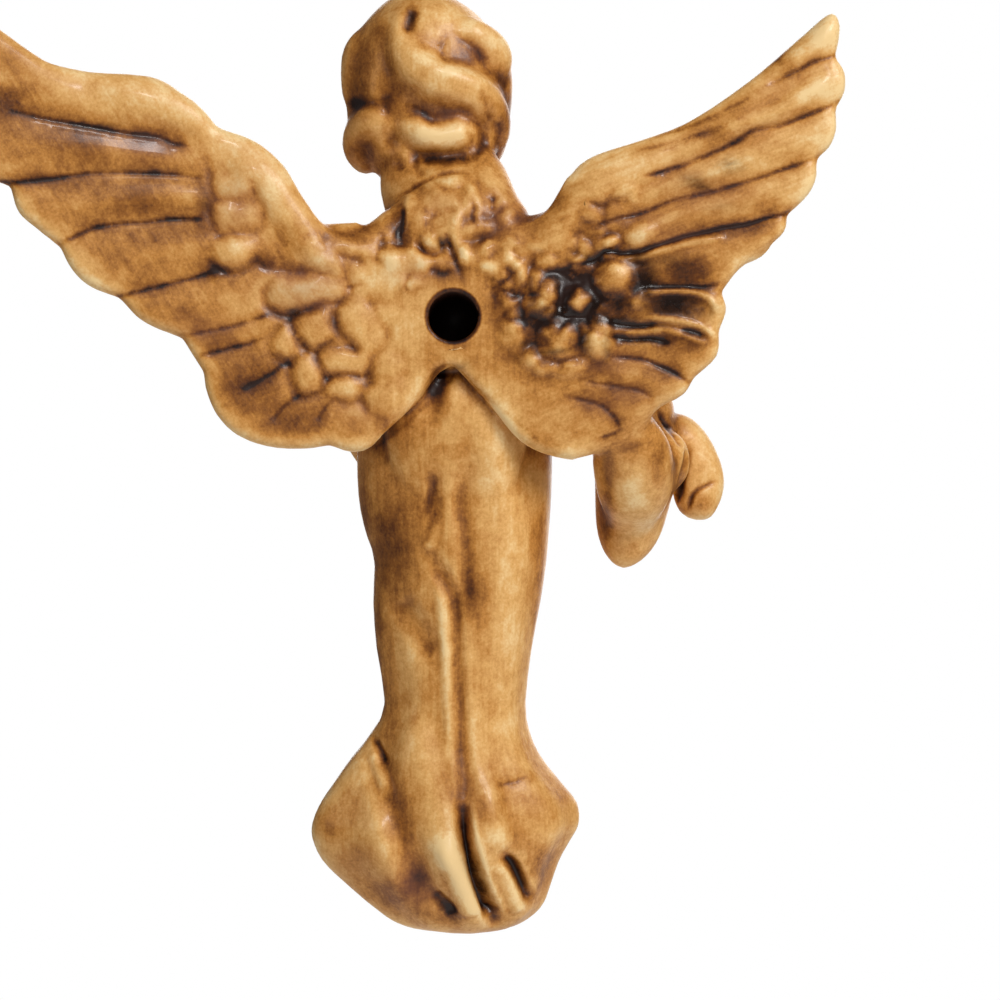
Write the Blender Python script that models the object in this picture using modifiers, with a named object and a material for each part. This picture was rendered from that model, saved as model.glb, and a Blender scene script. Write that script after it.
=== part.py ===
"""A slip-cast ceramic nativity angel that hangs from a round hole in its back, between the wings.

The figure is one casting: a long gown that closes under the hem, a head with rolled locks of hair, two
unlike wings and two sleeved arms. Rounded masses are laid on like clay and fused, feathers and folds are
carved into the skin, and the hanging hole is cut last. Its front faces -Y, its back faces +Y, and the
origin is the centre of the hole's mouth.
"""

import math

import bmesh
import bpy
import numpy as np
from mathutils import Matrix, Vector

# Driving sizes, in metres. The figure's pose and carving are shares of its height.
FIGURE_HEIGHT = 0.244
HOLE_DIAMETER = 0.0125
HOLE_DEPTH = 0.022
HOLE_LAND_WIDTH = 0.0025

# The figure is drawn in parts of its own height, 244 of them from hem to crown.
PARTS_IN_HEIGHT = 244
PART = FIGURE_HEIGHT / PARTS_IN_HEIGHT

# How finely the clay is fused and how many triangles the finished solid keeps.
CLAY_GRAIN = 1.0
SMOOTHING = 5
SOLID_TRIANGLES = 9600
HOLE_SIDES = 40

HEAD_CENTRE = (6.6, -27, 63)
HEAD_NOD_DEGREES = 8
BACK = 1
FRONT = -1

# The gown from the neck to the hem: x, y, z, half width and half depth of each level.
GOWN = [
    (1, -22, 32, 12, 10),
    (0.5, -22.5, 27, 18, 12),
    (0, -22.5, 22, 23.5, 13),
    (0, -23, 15, 27.5, 15),
    (0, -25, 6, 29, 18),
    (0, -25.5, -8, 27.5, 18.5),
    (0, -25.5, -22, 25, 17.5),
    (0, -25.5, -35.4, 25.3, 18.5),
    (-0.1, -25.5, -46, 24.9, 18.5),
    (-0.6, -25.5, -54, 23.8, 18.5),
    (-1.4, -25, -61.5, 22.3, 18),
    (-0.4, -25, -72, 21.7, 17),
    (0.4, -25, -84.3, 20.1, 16),
    (0.2, -25, -98.8, 18.2, 15.5),
    (1.6, -25, -106.9, 20.8, 16),
    (2.7, -25.5, -113.3, 24.9, 17.5),
    (2.5, -26, -119.8, 29.7, 19),
    (2.4, -26.5, -124.6, 33.1, 20.5),
    (3.2, -26.5, -130, 34.2, 21.4),
    (4, -26.5, -134.5, 32.6, 21.4),
    (3.9, -26.5, -139.5, 29.8, 20.5),
    (1.7, -26, -145.4, 25.6, 18.6),
    (-0.6, -25.5, -151, 21.2, 16),
    (-1.4, -25, -155, 16, 12.4),
    (-3, -25, -158, 8, 7),
]

# The edge of each wing, as x and z, in runs. A run is a smooth curve, and runs meet in a notch.
RIGHT_WING_EDGE = [
    [(-10, 20), (-22, 25.5), (-28, 34), (-34, 40), (-47, 44.4), (-59, 49), (-74, 59), (-87, 70),
     (-94, 75.8), (-96.6, 74), (-96.6, 68.6), (-95.4, 64.6)],
    [(-95.4, 64.6), (-98, 61), (-98, 55.6), (-95.6, 51.6)],
    [(-95.6, 51.6), (-96, 46.6), (-94.2, 41.8), (-91, 39.3)],
    [(-91, 39.3), (-90.8, 34.6), (-88.6, 30), (-83.6, 25.2)],
    [(-83.6, 25.2), (-82.8, 21), (-78, 16.6), (-71.5, 11.6), (-67.2, 6)],
    [(-67.2, 6), (-68.4, 1.6), (-66.6, -3.6)],
    [(-66.6, -3.6), (-66, -10), (-60.4, -15.4)],
    [(-60.4, -15.4), (-57.4, -20), (-51.6, -23.4)],
    [(-51.6, -23.4), (-48, -27.6), (-41, -31.8), (-34, -35.8), (-25.5, -35.2), (-17, -31.4), (-10, -23),
     (-4, -16.4), (1.3, -11)],
    [(1.3, -11), (8, 0), (2, 14), (-10, 20)],
]
LEFT_WING_EDGE = [
    [(12, 17), (29.5, 21), (37.5, 30), (42, 37.6), (48.8, 43.6), (56, 46.3), (61.5, 48)],
    [(61.5, 48), (65, 53.2), (71, 58), (77, 59.8), (90.8, 60.4), (103.5, 63.6), (113, 69.6), (126, 80.6),
     (131, 81), (131.6, 75), (127.4, 67.4)],
    [(127.4, 67.4), (130, 61), (127.4, 53), (119.6, 44.6)],
    [(119.6, 44.6), (120, 39), (116.4, 34.2), (109, 31.3)],
    [(109, 31.3), (107, 25), (102.4, 20.8), (97, 16.4)],
    [(97, 16.4), (94.2, 11), (90, 7), (82.6, 4)],
    [(82.6, 4), (77, -1.6), (67.3, -5.8)],
    [(67.3, -5.8), (65, -9.6), (62.2, -14)],
    [(62.2, -14), (61.4, -19), (59, -24.6), (55, -29), (50, -31.6), (44, -33), (37, -33.2), (31, -32.3)],
    [(31, -32.3), (25.5, -34), (21, -33), (16.5, -28.5), (10.5, -22.8), (4.8, -15), (-1.8, -11.5)],
    [(-1.8, -11.5), (-8, 0), (-2, 14), (12, 17)],
]
WING_HALF_THICKNESS = 2.9
WING_EDGE_ROUNDING = 0.9
WING_SPAN = 132
WING_CUT_STEP = 6
WING_ROOT_DEPTH = -3.2
RIGHT_WING_SWEEP = 4.5
LEFT_WING_SWEEP = 11
WING_REACH = 100
SWEEP_POWER = 1.7

# Wing feathers, from the leading edge down. Each row is the root, a middle point and the tip as x and z,
# then the half width at the root, the middle and near the tip.
RIGHT_FEATHERS = [
    (-38, 33.6, -66, 45.4, -91.5, 68, 4.6, 4.8, 4.6),
    (-44, 33, -74, 47.6, -94.6, 58, 4.2, 4.8, 5.6),
    (-38, 26.5, -68, 37.5, -93.6, 46, 4.6, 5.2, 5.6),
    (-32, 17, -62, 26.6, -88, 33.4, 4.0, 5.2, 6.2),
    (-30, 9.5, -56, 14.4, -80, 21.4, 5.0, 6.4, 5.8),
    (-28, 2.5, -50, 2.5, -65.6, 1.4, 4.4, 5.0, 4.6),
    (-28, -4.5, -48, -7, -63.6, -9, 4.2, 4.8, 4.8),
    (-26, -11, -42, -14, -57.6, -17.6, 4.0, 4.4, 4.2),
    (-22, -14, -36, -20.5, -50, -24.2, 4.2, 4.6, 4.2),
    (-5, -8, -20, -22, -38, -30.4, 5.0, 7.6, 4.6),
]
LEFT_FEATHERS = [
    (64, 46.6, 96, 54.6, 124, 73, 4.6, 5.0, 5.2),
    (64, 45.6, 98, 53, 125.6, 62.6, 4.4, 5.8, 6.6),
    (58, 37, 88, 40.4, 115.8, 42, 4.0, 5.8, 7.6),
    (52, 28.6, 78, 29, 104, 25.4, 4.6, 6.2, 7.0),
    (50, 18, 70, 16.6, 91.6, 11.4, 5.4, 7.4, 6.6),
    (44, 7, 60, 4, 76, 0, 5.4, 6.0, 5.2),
    (38, 0.6, 50, -3.6, 63.6, -8, 3.2, 3.6, 3.4),
    (34, -6, 46, -11.6, 58.6, -18, 4.6, 5.2, 4.8),
    (28, -12, 39, -19.4, 52.6, -26, 5.0, 5.6, 5.0),
    (20, -15, 30, -23, 41.6, -29.4, 5.4, 6.0, 5.0),
    (4, -6, 14, -16.5, 26, -29.4, 5.0, 7.0, 5.6),
]
FEATHER_HALF_DEPTH = 3.5
FEATHER_STEP = 0.1

# The thick root of each wing, as x, y, z, half width and half depth.
RIGHT_WING_ROOT = [
    (4, -6, 2, 12, 5),
    (-14, -5.8, 4, 19, 5.8),
    (-30, -5.2, 8, 20, 5.4),
    (-44, -4.2, 14, 15, 4.4),
]
LEFT_WING_ROOT = [
    (-4, -6, 2, 12, 5),
    (14, -5.8, 2, 18, 5.8),
    (32, -5, 4, 22, 5.6),
    (50, -3.6, 16, 17, 4.8),
]
RIGHT_WING_ARM = [
    (-12, -8, 12, 8, 6),
    (-24, -3.6, 19, 6, 5),
    (-34.6, -2.6, 31, 5.6, 4.6),
    (-48, -1.8, 37, 6, 4.2),
    (-66, -1, 45.4, 5, 4),
]
LEFT_WING_ARM = [
    (12, -8, 8, 8, 6),
    (30, -3, 12, 6, 5),
    (40, -1.4, 23, 6, 4.8),
    (49, 0, 34, 7, 4.6),
    (60, 1.4, 39.6, 6.4, 4.2),
]
LEFT_WING_CREST = [
    (58, 1.6, 43.6, 4, 3.6),
    (69, 3.4, 50.2, 5.4, 3.8),
    (79, 5, 53.4, 5.6, 3.8),
    (95, 7.4, 56, 4, 3.4),
]

# Creases between the feathers, as x and z from the wing's edge to its root.
RIGHT_CREASES = [
    [(-97.5, 65.4), (-85.5, 61), (-76, 54)],
    [(-97, 52), (-83.8, 48.3), (-70.3, 42.8), (-50.3, 35.5)],
    [(-93, 39.8), (-81, 36.3), (-64.3, 31), (-41.8, 22.8)],
    [(-86, 25.6), (-72.5, 23.3), (-55.8, 19.3), (-31.8, 13.3)],
    [(-69, 6.2), (-59, 7.2), (-48.5, 7)],
    [(-68, -4.4), (-53, -3), (-40.5, -1.8)],
    [(-62, -15.2), (-49.3, -11.5), (-40.5, -10)],
    [(-54, -22.6), (-43.3, -18.3), (-33, -16.3)],
    [(-45, -29.6), (-35, -23.8), (-29.5, -20.5)],
]
LEFT_CREASES = [
    [(130, 73), (116, 66), (104, 61)],
    [(124, 53), (105.8, 49), (87, 46), (64.5, 41.5)],
    [(112, 31.6), (99.8, 32.5), (77.3, 35), (60, 33.4)],
    [(99, 16.4), (88.5, 19.8), (71.3, 23.5), (60, 23.6)],
    [(85, 4), (72.8, 6.3), (59.3, 10)],
    [(69, -6.2), (60.8, -4.3), (49.5, -0.5), (42, 0.6)],
    [(63, -12), (54, -8), (45.3, -5.2)],
    [(60, -22), (51, -17.8), (39.3, -11.5)],
    [(49, -31), (44.3, -26), (37, -19.6)],
]
CREASE_WIDTH = 2.2
CREASE_DEPTH = 1.1
WING_FRONT = -12
GOWN_FRONT = -49.5
HEAD_FRONT = -60

# Small feathers and curls that stand up from the back: x, z, half width, half height, turn in degrees
# and height.
LEFT_COVERTS = [
    (43, 4.6, 5.2, 4.6, 0, 1.6),
    (33.2, 7.0, 8.0, 4.4, -12, 1.6),
    (38, 14.6, 6.6, 4.0, 10, 0.9),
    (27, 14, 6.0, 4.4, 30, 0.8),
    (33.6, -2.8, 5.6, 4.8, 0, 1.3),
    (23, -1.0, 5.4, 6.4, -25, 1.2),
    (27.4, -10.6, 6.6, 4.4, 6, 1.3),
    (36.8, -13, 4.6, 5.6, 20, 1.1),
    (16, -10, 5.6, 5.0, 0, 1.0),
    (26.9, -18.2, 5.4, 3.6, 0, 1.1),
    (16.4, -19.4, 6.0, 4.2, -35, 1.1),
    (34, -21.6, 4.4, 4.4, 40, 0.9),
    (43, -6.4, 4.6, 4.4, -10, 0.9),
    (52.6, 15, 4.8, 4.8, 0, 1.6),
    (56.6, 22.6, 4.8, 4.6, 0, 1.5),
    (57.6, 30.8, 4.6, 4.6, 0, 1.3),
    (48.4, 24.6, 4.4, 5.6, -30, 0.8),
    (45.6, 12.4, 4.0, 3.8, 0, 0.9),
]
RIGHT_COVERTS = [
    (-23.3, 5.6, 3.2, 4.4, -10, 2.0),
    (-31.6, 4.0, 3.9, 3.7, 0, 1.9),
    (-42.4, 9.0, 3.6, 4.6, 8, 2.0),
    (-37.6, 10.8, 3.0, 3.6, 0, 1.4),
    (-46.2, 20.2, 3.4, 2.6, 20, 1.6),
    (-39, 19, 3.2, 2.4, 20, 1.2),
    (-32.6, 17.4, 3.0, 2.4, 10, 1.0),
    (-26.6, 18.4, 2.6, 2.4, 0, 1.3),
    (-30, 12.8, 2.8, 2.6, 0, 1.5),
    (-22.6, 13, 3.2, 3.0, 0, 1.5),
    (-17.4, 5.6, 2.4, 4.2, 0, 1.4),
    (-16.8, 11, 2.8, 2.8, 0, 1.3),
    (-25.8, -4.0, 4.6, 5.0, 0, 1.9),
    (-37, -5.6, 3.2, 4.2, 0, 1.8),
    (-32.4, -4.0, 2.4, 3.6, 0, 1.2),
    (-13.8, -2.0, 3.2, 3.4, 0, 1.0),
    (-18.6, -2.8, 2.8, 3.2, 0, 1.2),
    (-19.4, -9.4, 3.0, 2.6, 0, 1.1),
    (-26.8, -12.4, 4.0, 2.8, 20, 1.2),
    (-34.6, -13.2, 4.2, 3.0, 20, 1.0),
    (-43.4, 2.4, 4.0, 2.2, 0, 0.9),
]
BACK_CURLS = [
    (5.3, 24.4, 4.8, 4.6, 0, 1.4),
    (5.9, 18.6, 3.4, 2.4, 0, 1.2),
    (1.2, 33.0, 4.6, 2.6, -15, 1.6),
    (-2.0, 15.6, 1.9, 6.4, 18, 1.4),
    (-0.6, 23.6, 1.8, 4.0, -18, 1.2),
    (-6.4, 30.4, 2.2, 4.4, 12, 1.0),
    (-8.4, 14.4, 2.2, 5.0, 10, 1.1),
    (-10.4, 22.6, 3.4, 3.6, 0, 0.9),
    (11.6, 17.6, 4.6, 3.0, 24, 1.2),
    (12.6, 26.4, 3.4, 4.2, 0, 1.1),
    (18.6, 19.6, 3.6, 3.0, 20, 0.9),
    (-17.6, 19.6, 3.6, 3.0, -20, 0.9),
    (16.2, 12.2, 4.4, 2.6, -20, 1.0),
]
LUMP_SPREAD = 1.35

# Folds of the gown, as the side, width, depth and then x and z along the fold. A depth below zero
# raises a ridge.
GOWN_FOLDS = [
    (BACK, 4.2, 1.8, [(0.3, -67), (-1, -88), (-1.8, -108), (-2.5, -124)]),
    (BACK, 4.4, 5.6, [(-1.8, -115), (-4.3, -136), (-7.3, -147), (-11, -158)]),
    (BACK, 6.0, 2.8, [(17.6, -104), (16.6, -118), (13, -131), (8.5, -144), (4, -158)]),
    (BACK, 3.0, 3.0, [(-12.6, -137), (-15.6, -143), (-18, -151)]),
    (BACK, 4.8, -2.0, [(-4.5, -100), (-8.6, -123), (-11.5, -133), (-14, -154)]),
    (BACK, 6.5, -1.8, [(6.5, -98), (5.5, -121), (3, -138), (-1.5, -156)]),
    (BACK, 6.0, 1.8, [(12, -69), (8.5, -79), (5.5, -90)]),
    (BACK, 5.0, 1.4, [(4, -44), (6, -54), (3, -62)]),
    (BACK, 5.0, 1.8, [(1.5, -10), (2.8, -20), (5.5, -30)]),
    (BACK, 8.0, -1.8, [(15.5, -73), (14.8, -85), (12.7, -100)]),
    (FRONT, 3.8, 2.4, [(3, -48), (2, -80), (0, -112), (-2, -157)]),
    (FRONT, 3.6, 2.2, [(-9, -60), (-7.5, -90), (-9.5, -120), (-15, -154)]),
    (FRONT, 3.6, 2.2, [(12.5, -66), (10, -94), (11.5, -123), (18, -152)]),
    (FRONT, 3.2, 1.8, [(-16, -84), (-14, -102), (-19, -123), (-26, -142)]),
    (FRONT, 3.2, 1.8, [(18, -88), (14.5, -104), (20, -125), (29, -140)]),
    (FRONT, 4.4, -1.6, [(-3.5, -60), (-3, -90), (-5, -122), (-8, -154)]),
    (FRONT, 4.4, -1.6, [(7, -58), (6, -90), (6, -122), (8, -154)]),
    (FRONT, 2.8, 1.4, [(-17, 14), (-12, -6), (-5, -22)]),
    (FRONT, 2.8, 1.2, [(-9, 17), (-6, -2), (-2, -18)]),
    (FRONT, 3.0, 1.5, [(-23, -26), (-8, -33), (8, -34), (23, -28)]),
]

# Rolled locks of hair round the head, as x, y, z and radius, measured from the head's centre.
LOCKS = [
    [(6, 12.5, 17.4, 3.6), (7, 14.4, 9.5, 4.2), (4.6, 15.6, 2, 5.2), (-2, 15.8, -2.6, 5.8),
     (-8.5, 14.6, -4.6, 5.8), (-14.4, 11, -8, 5.6), (-17, 6, -14, 5.2), (-16, 3, -21.5, 4.4)],
    [(-5.6, 12, 11.4, 4.0), (-11.6, 10.6, 9.4, 4.8), (-16.4, 6.5, 5, 5.4), (-15.8, 6, -2.4, 4.2)],
    [(16, 4, 13, 5), (17.2, 5, 4, 5.6), (17.6, 3, -3, 5.2), (17.2, 1, -9.4, 4.4)],
    [(8.6, 14, -10.6, 4.2), (14, 9.8, -12.4, 5.2), (17, 5, -16.4, 5.6), (16, 3, -25, 5)],
    [(9, 13.6, -12.6, 3.8), (3.5, 15.4, -14.6, 4.8), (-2.4, 15.6, -16.4, 5.2), (-8, 13.6, -17, 4.8),
     (-13.4, 9.5, -19.4, 4)],
    [(10, 10.6, -17, 3.4), (6, 11.6, -21.8, 4.0), (1.6, 11.4, -27, 3)],
    [(-12.4, 11.5, -12.6, 2.6), (-15, 8.5, -17.5, 3.2), (-11.2, 10, -21.4, 2.6)],
    [(-1, -11.6, 17, 3.6), (-7.6, -11, 13.6, 4.2), (-14, -7.4, 7, 4.8), (-16.4, -4.6, -1, 4.8),
     (-16, -2.6, -9.6, 4.8)],
    [(-1, -11.6, 17, 3.6), (7.2, -11.2, 14.6, 4.2), (14.2, -7.6, 8, 4.8), (16.6, -4.6, 0, 4.8),
     (16.4, -2.6, -9, 4.8)],
    [(-16.6, -1, -7, 4.6), (-15.6, 1, -15, 5.0), (-12.6, 3.4, -24, 4.4)],
    [(1, -6, 17.6, 4.6), (-5.6, -4, 15, 4.6), (-12, -2, 9.6, 5.0)],
]

# The face, measured from the head's centre before it nods: x, y, z, half width and half depth down a
# short spine. Pairs are mirrored.
FACE_MIDDLE = {
    "hair cap": [(4, 3, 23.6, 12, 12), (2.6, 3, 13, 17.6, 15.6), (0.8, 3, 0, 20.6, 15),
                 (0.4, 3, -12, 19.2, 13), (0.6, 2, -24, 16, 11)],
    "face": [(0, -4, 16, 9, 9), (0, -5.4, 8, 13.6, 12), (0, -5.8, -2, 14, 12.2), (0, -6.6, -11, 12, 10.4),
             (0, -8.6, -23, 7, 7.4)],
    "chin": [(0, -9.8, -12, 7, 5), (0, -10.4, -17.4, 6.4, 5.2), (0, -9, -22.6, 5, 4.4)],
    "nose": [(0, -16, 5, 1.6, 2.2), (0, -17.8, -0.6, 1.8, 2.4), (0, -19.4, -5.4, 2.5, 2.6),
             (0, -18.2, -8.8, 2.2, 2.0)],
    "lips": [(-5.4, -13.6, -12.8, 1.5, 1.6), (0, -15.8, -13, 2.2, 2.0), (5.4, -13.6, -12.8, 1.5, 1.6)],
}
FACE_PAIRS = {
    "cheek": [(7.0, -9.8, 1, 6.0, 5.6), (7.0, -10.2, -5, 6.2, 5.6), (5.4, -10.2, -14, 5, 5)],
    "brow": [(2.2, -16, 5.0, 1.5, 1.6), (6.6, -15.4, 6.6, 1.8, 2.0), (11.6, -11.2, 4.6, 1.6, 1.8)],
    "nostril": [(1.8, -17.4, -5.6, 1.5, 1.8), (2.6, -16.4, -8.2, 1.6, 1.8)],
}

# Carving of the face, as the width, depth and then x and z from the head's centre. Pairs are mirrored.
FACE_CARVING = [
    (3.6, 1.5, [(2.6, 2.4), (6.0, 2.8), (10, 1.6)]),
    (2.4, -1.3, [(3.0, 0.6), (6.0, 0.6), (9.4, 0.4)]),
    (0.9, 0.6, [(2.8, -0.8), (6.0, -1.8), (9.8, -0.6)]),
    (0.9, 0.7, [(-0.2, -14.9), (2.0, -14.5), (4.6, -14.7)]),
    (1.8, 0.6, [(-0.2, -18.4), (1.6, -18.2), (3.2, -17.6)]),
]

BODY = {
    "neck": [(6.4, -26, 66, 9, 9), (5.8, -24.6, 50, 10, 10), (4.4, -24, 38, 10.4, 10.6),
             (2, -23.6, 27, 14, 12), (0, -24, 8, 18, 12)],
    "nape": [(5, -21, 48, 12, 7), (5, -19, 40, 14.4, 7.4), (4.4, -16.6, 35.4, 15, 8), (2, -13, 30, 16.4, 8.6),
             (1, -10, 25, 19.6, 8.6), (0, -7.4, 18, 21, 7.4), (0, -5, 8, 18, 5)],
    "chest": [(0, -29, 20, 17, 9), (0, -32, 8, 21, 11), (0, -31.6, -6, 20, 11.6), (0, -29, -22, 18, 12)],
}

RIGHT_ARM = {
    "sleeve": [(-10, -23, 20, 6, 7), (-22, -25, 16, 10, 10), (-31, -28, 7, 12, 12), (-37, -31, -6, 12.6, 12.4),
               (-43, -32, -19, 12.4, 11.6), (-50, -33, -27, 10, 10), (-55, -34, -31, 8, 8.4)],
    "hanging sleeve": [(-42, -31, -14, 10, 8), (-45.6, -30.4, -26, 11.2, 9), (-46.8, -30, -38, 10.8, 9),
                       (-45.8, -29.5, -50, 9.8, 7.6), (-43.2, -28.6, -64.4, 6.8, 5)],
    "hand": [(-52, -34.6, -25, 5.6, 5.6), (-59.6, -35.4, -31.4, 6.8, 5.6), (-63.8, -35.4, -40, 6.8, 5.4),
             (-63, -34.6, -46, 6.2, 5), (-60.8, -33.6, -50.4, 4.6, 4.2)],
    "thumb": [(-59.6, -39, -31, 2.6, 2.4), (-59, -41, -37, 2.5, 2.3), (-59.2, -41, -44.6, 2.1, 2.1)],
}
LEFT_ARM = {
    "sleeve": [(10, -23, 20, 6, 7), (22, -25, 15.6, 10, 10), (31, -30, 6, 12, 12), (34.6, -36, -8, 12, 12),
               (31, -41, -15.6, 11, 11), (24, -45, -12, 9.4, 9.4), (17, -47, -6, 7.6, 7.6)],
    "hanging sleeve": [(30, -40, -13, 9, 9), (24, -43, -22, 9.4, 8), (19.6, -43, -32, 8, 6.6),
                       (16.6, -41.6, -43, 4.6, 4.4)],
    "hand": [(19, -47, -7, 5, 4.6), (13, -48, -2, 5.4, 4.2), (6.4, -46.6, 3, 5.6, 3.6),
             (-1.6, -44.4, 8.2, 4.8, 3)],
    "thumb": [(13.6, -48, 0, 2.4, 2.6), (10, -47.6, 6, 2.2, 2.4), (8, -46, 10.6, 2, 2.2)],
}


def spline(stations, shares):
    """The stations' values at shares from 0 to 1 of the way along, on a smooth curve through them all."""
    rows = np.asarray(stations, float)
    last = len(rows) - 1
    place = np.clip(np.asarray(shares, float), 0, 1) * last
    index = np.minimum(place.astype(int), last - 1)
    step = (place - index)[:, None]
    here, after = rows[index], rows[index + 1]
    before = np.where((index > 0)[:, None], rows[np.maximum(index - 1, 0)], 2 * here - after)
    beyond = np.where((index + 2 <= last)[:, None], rows[np.minimum(index + 2, last)], 2 * after - here)
    return 0.5 * (
        2 * here
        + (after - before) * step
        + (2 * before - 5 * here + 4 * after - beyond) * step**2
        + (3 * here - before - 3 * after + beyond) * step**3
    )


def unit(rows):
    return rows / np.maximum(np.linalg.norm(rows, axis=1, keepdims=True), 1e-9)


def rounded_ends(shares, caps):
    """1 along the middle of a mass, falling to 0 in a quarter circle over the cap at each end."""
    first = np.clip(1 - shares / caps[0], 0, 1)
    final = np.clip(1 - (1 - shares) / caps[1], 0, 1)
    return np.sqrt(np.clip(1 - np.maximum(first, final) ** 2, 0, 1))


def lay(clay, spine, caps=(0.3, 0.3), around=20, along=22, place=None, level=False, flutes=None):
    """Lays one rounded mass on the clay: a sphere drawn out along a spine, as wide and deep as it says."""
    sphere = bmesh.ops.create_uvsphere(clay, u_segments=around, v_segments=along, radius=1)["verts"]
    ball = np.array([vertex.co for vertex in sphere])
    shares = (1 + ball[:, 2]) / 2
    rows = spline(spine, shares)
    heading = unit(spline(spine, shares + 0.01)[:, :3] - spline(spine, shares - 0.01)[:, :3])
    if level:
        heading[:] = (0, 0, -1)
    deep = unit(np.array((0, 1, 0)) - heading[:, 1:2] * heading)
    wide = np.cross(deep, heading)
    angles = np.arctan2(ball[:, 1], ball[:, 0])
    reach = rounded_ends(shares, caps)
    if flutes:
        reach = reach * flutes(angles, rows[:, 2])
    points = (
        rows[:, :3]
        + wide * (rows[:, 3] * np.cos(angles) * reach)[:, None]
        + deep * (rows[:, 4] * np.sin(angles) * reach)[:, None]
    )
    for vertex, point in zip(sphere, points):
        vertex.co = point if place is None else place @ Vector(point)


def gown_flutes(angles, heights):
    """Soft folds that grow towards the hem."""
    share = np.clip((-50 - heights) / 100, 0, 1)
    return 1 + share * (0.035 * np.cos(9 * angles + 0.6) + 0.025 * np.cos(5 * angles - 0.8))


def lay_body(clay):
    lay(clay, GOWN, caps=(0.04, 0.03), around=96, along=80, level=True, flutes=gown_flutes)
    for spine in BODY.values():
        lay(clay, spine)


def lay_arms(clay):
    for arm in (RIGHT_ARM, LEFT_ARM):
        for spine in arm.values():
            lay(clay, spine, caps=(0.2, 0.18), along=36)


def lay_head(clay):
    centre = Matrix.Translation(HEAD_CENTRE)
    nod = centre @ Matrix.Rotation(math.radians(HEAD_NOD_DEGREES), 4, "X")
    for spine in FACE_MIDDLE.values():
        lay(clay, spine, caps=(0.4, 0.4), place=nod)
    for spine in FACE_PAIRS.values():
        for side in (-1, 1):
            mirrored = [(side * x, y, z, half_width, half_depth) for x, y, z, half_width, half_depth in spine]
            lay(clay, mirrored, caps=(0.4, 0.4), place=nod)
    for lock in LOCKS:
        lay(clay, [(x, y, z, radius, radius) for x, y, z, radius in lock], place=centre)


def wing_depth(x, sweep):
    """The depth of a wing's middle surface, which sweeps back towards the tip."""
    return WING_ROOT_DEPTH + sweep * (abs(x) / WING_REACH) ** SWEEP_POWER


def lay_wing_plate(clay, runs, sweep):
    """A rounded plate cut to the wing's edge and swept back."""
    outline = []
    for run in runs:
        outline.extend(spline(run, np.linspace(0, 1, 5 * (len(run) - 1) + 1))[:-1])
    curve = bpy.data.curves.new("wing edge", "CURVE")
    curve.dimensions = "2D"
    curve.fill_mode = "BOTH"
    curve.bevel_depth = WING_HALF_THICKNESS * WING_EDGE_ROUNDING
    curve.extrude = WING_HALF_THICKNESS * (1 - WING_EDGE_ROUNDING)
    curve.offset = -WING_HALF_THICKNESS * WING_EDGE_ROUNDING
    curve.bevel_resolution = 3
    edge = curve.splines.new("POLY")
    edge.points.add(len(outline) - 1)
    for point, (x, z) in zip(edge.points, outline):
        point.co = (x, z, 0, 1)
    edge.use_cyclic_u = True
    drawn = bpy.data.objects.new("wing edge", curve)
    flat = evaluated_mesh(drawn)
    bpy.data.objects.remove(drawn)
    bpy.data.curves.remove(curve)
    plate = bmesh.new()
    plate.from_mesh(flat)
    for x in range(-WING_SPAN, WING_SPAN, WING_CUT_STEP):
        everything = plate.verts[:] + plate.edges[:] + plate.faces[:]
        bmesh.ops.bisect_plane(plate, geom=everything, plane_co=(x, 0, 0), plane_no=(1, 0, 0))
    for vertex in plate.verts:
        x, z, y = vertex.co
        vertex.co = (x, y + wing_depth(x, sweep), z)
    bmesh.ops.reverse_faces(plate, faces=plate.faces[:])
    plate.to_mesh(flat)
    plate.free()
    clay.from_mesh(flat)


def lay_feathers(clay, feathers, sweep):
    """Overlapping blades. Each lies a little deeper than the one above it."""
    for number, row in enumerate(feathers):
        root_x, root_z, middle_x, middle_z, tip_x, tip_z, root_half, middle_half, tip_half = row
        drop = FEATHER_STEP * number
        spine = [
            (root_x, wing_depth(root_x, sweep) - drop, root_z, root_half, FEATHER_HALF_DEPTH),
            (middle_x, wing_depth(middle_x, sweep) - drop, middle_z, middle_half, FEATHER_HALF_DEPTH),
            (tip_x, wing_depth(tip_x, sweep) - drop, tip_z, tip_half, FEATHER_HALF_DEPTH * 0.9),
        ]
        lay(clay, spine, caps=(0.25, 0.14))


def lay_wings(clay):
    for spine in (RIGHT_WING_ROOT, LEFT_WING_ROOT, RIGHT_WING_ARM, LEFT_WING_ARM, LEFT_WING_CREST):
        lay(clay, spine)
    lay_wing_plate(clay, RIGHT_WING_EDGE, RIGHT_WING_SWEEP)
    lay_wing_plate(clay, LEFT_WING_EDGE, LEFT_WING_SWEEP)
    lay_feathers(clay, RIGHT_FEATHERS, RIGHT_WING_SWEEP)
    lay_feathers(clay, LEFT_FEATHERS, LEFT_WING_SWEEP)


def evaluated_mesh(thing):
    graph = bpy.context.evaluated_depsgraph_get()
    return bpy.data.meshes.new_from_object(thing.evaluated_get(graph))


def settle(thing):
    """Applies the object's modifiers to its mesh."""
    mesh = evaluated_mesh(thing)
    old = thing.data
    thing.modifiers.clear()
    thing.data = mesh
    bpy.data.meshes.remove(old)


def fuse(thing, grain):
    """Makes the overlapping masses one closed skin."""
    remesh = thing.modifiers.new("fuse", "REMESH")
    remesh.mode = "VOXEL"
    remesh.voxel_size = grain
    settle(thing)


def coordinates(mesh):
    values = np.empty(len(mesh.vertices) * 3)
    mesh.vertices.foreach_get("co", values)
    return values.reshape(-1, 3)


def store(mesh, points):
    mesh.vertices.foreach_set("co", points.ravel())
    mesh.update()


def outward(mesh):
    values = np.empty(len(mesh.vertices) * 3)
    mesh.vertex_normals.foreach_get("vector", values)
    return values.reshape(-1, 3)


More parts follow.
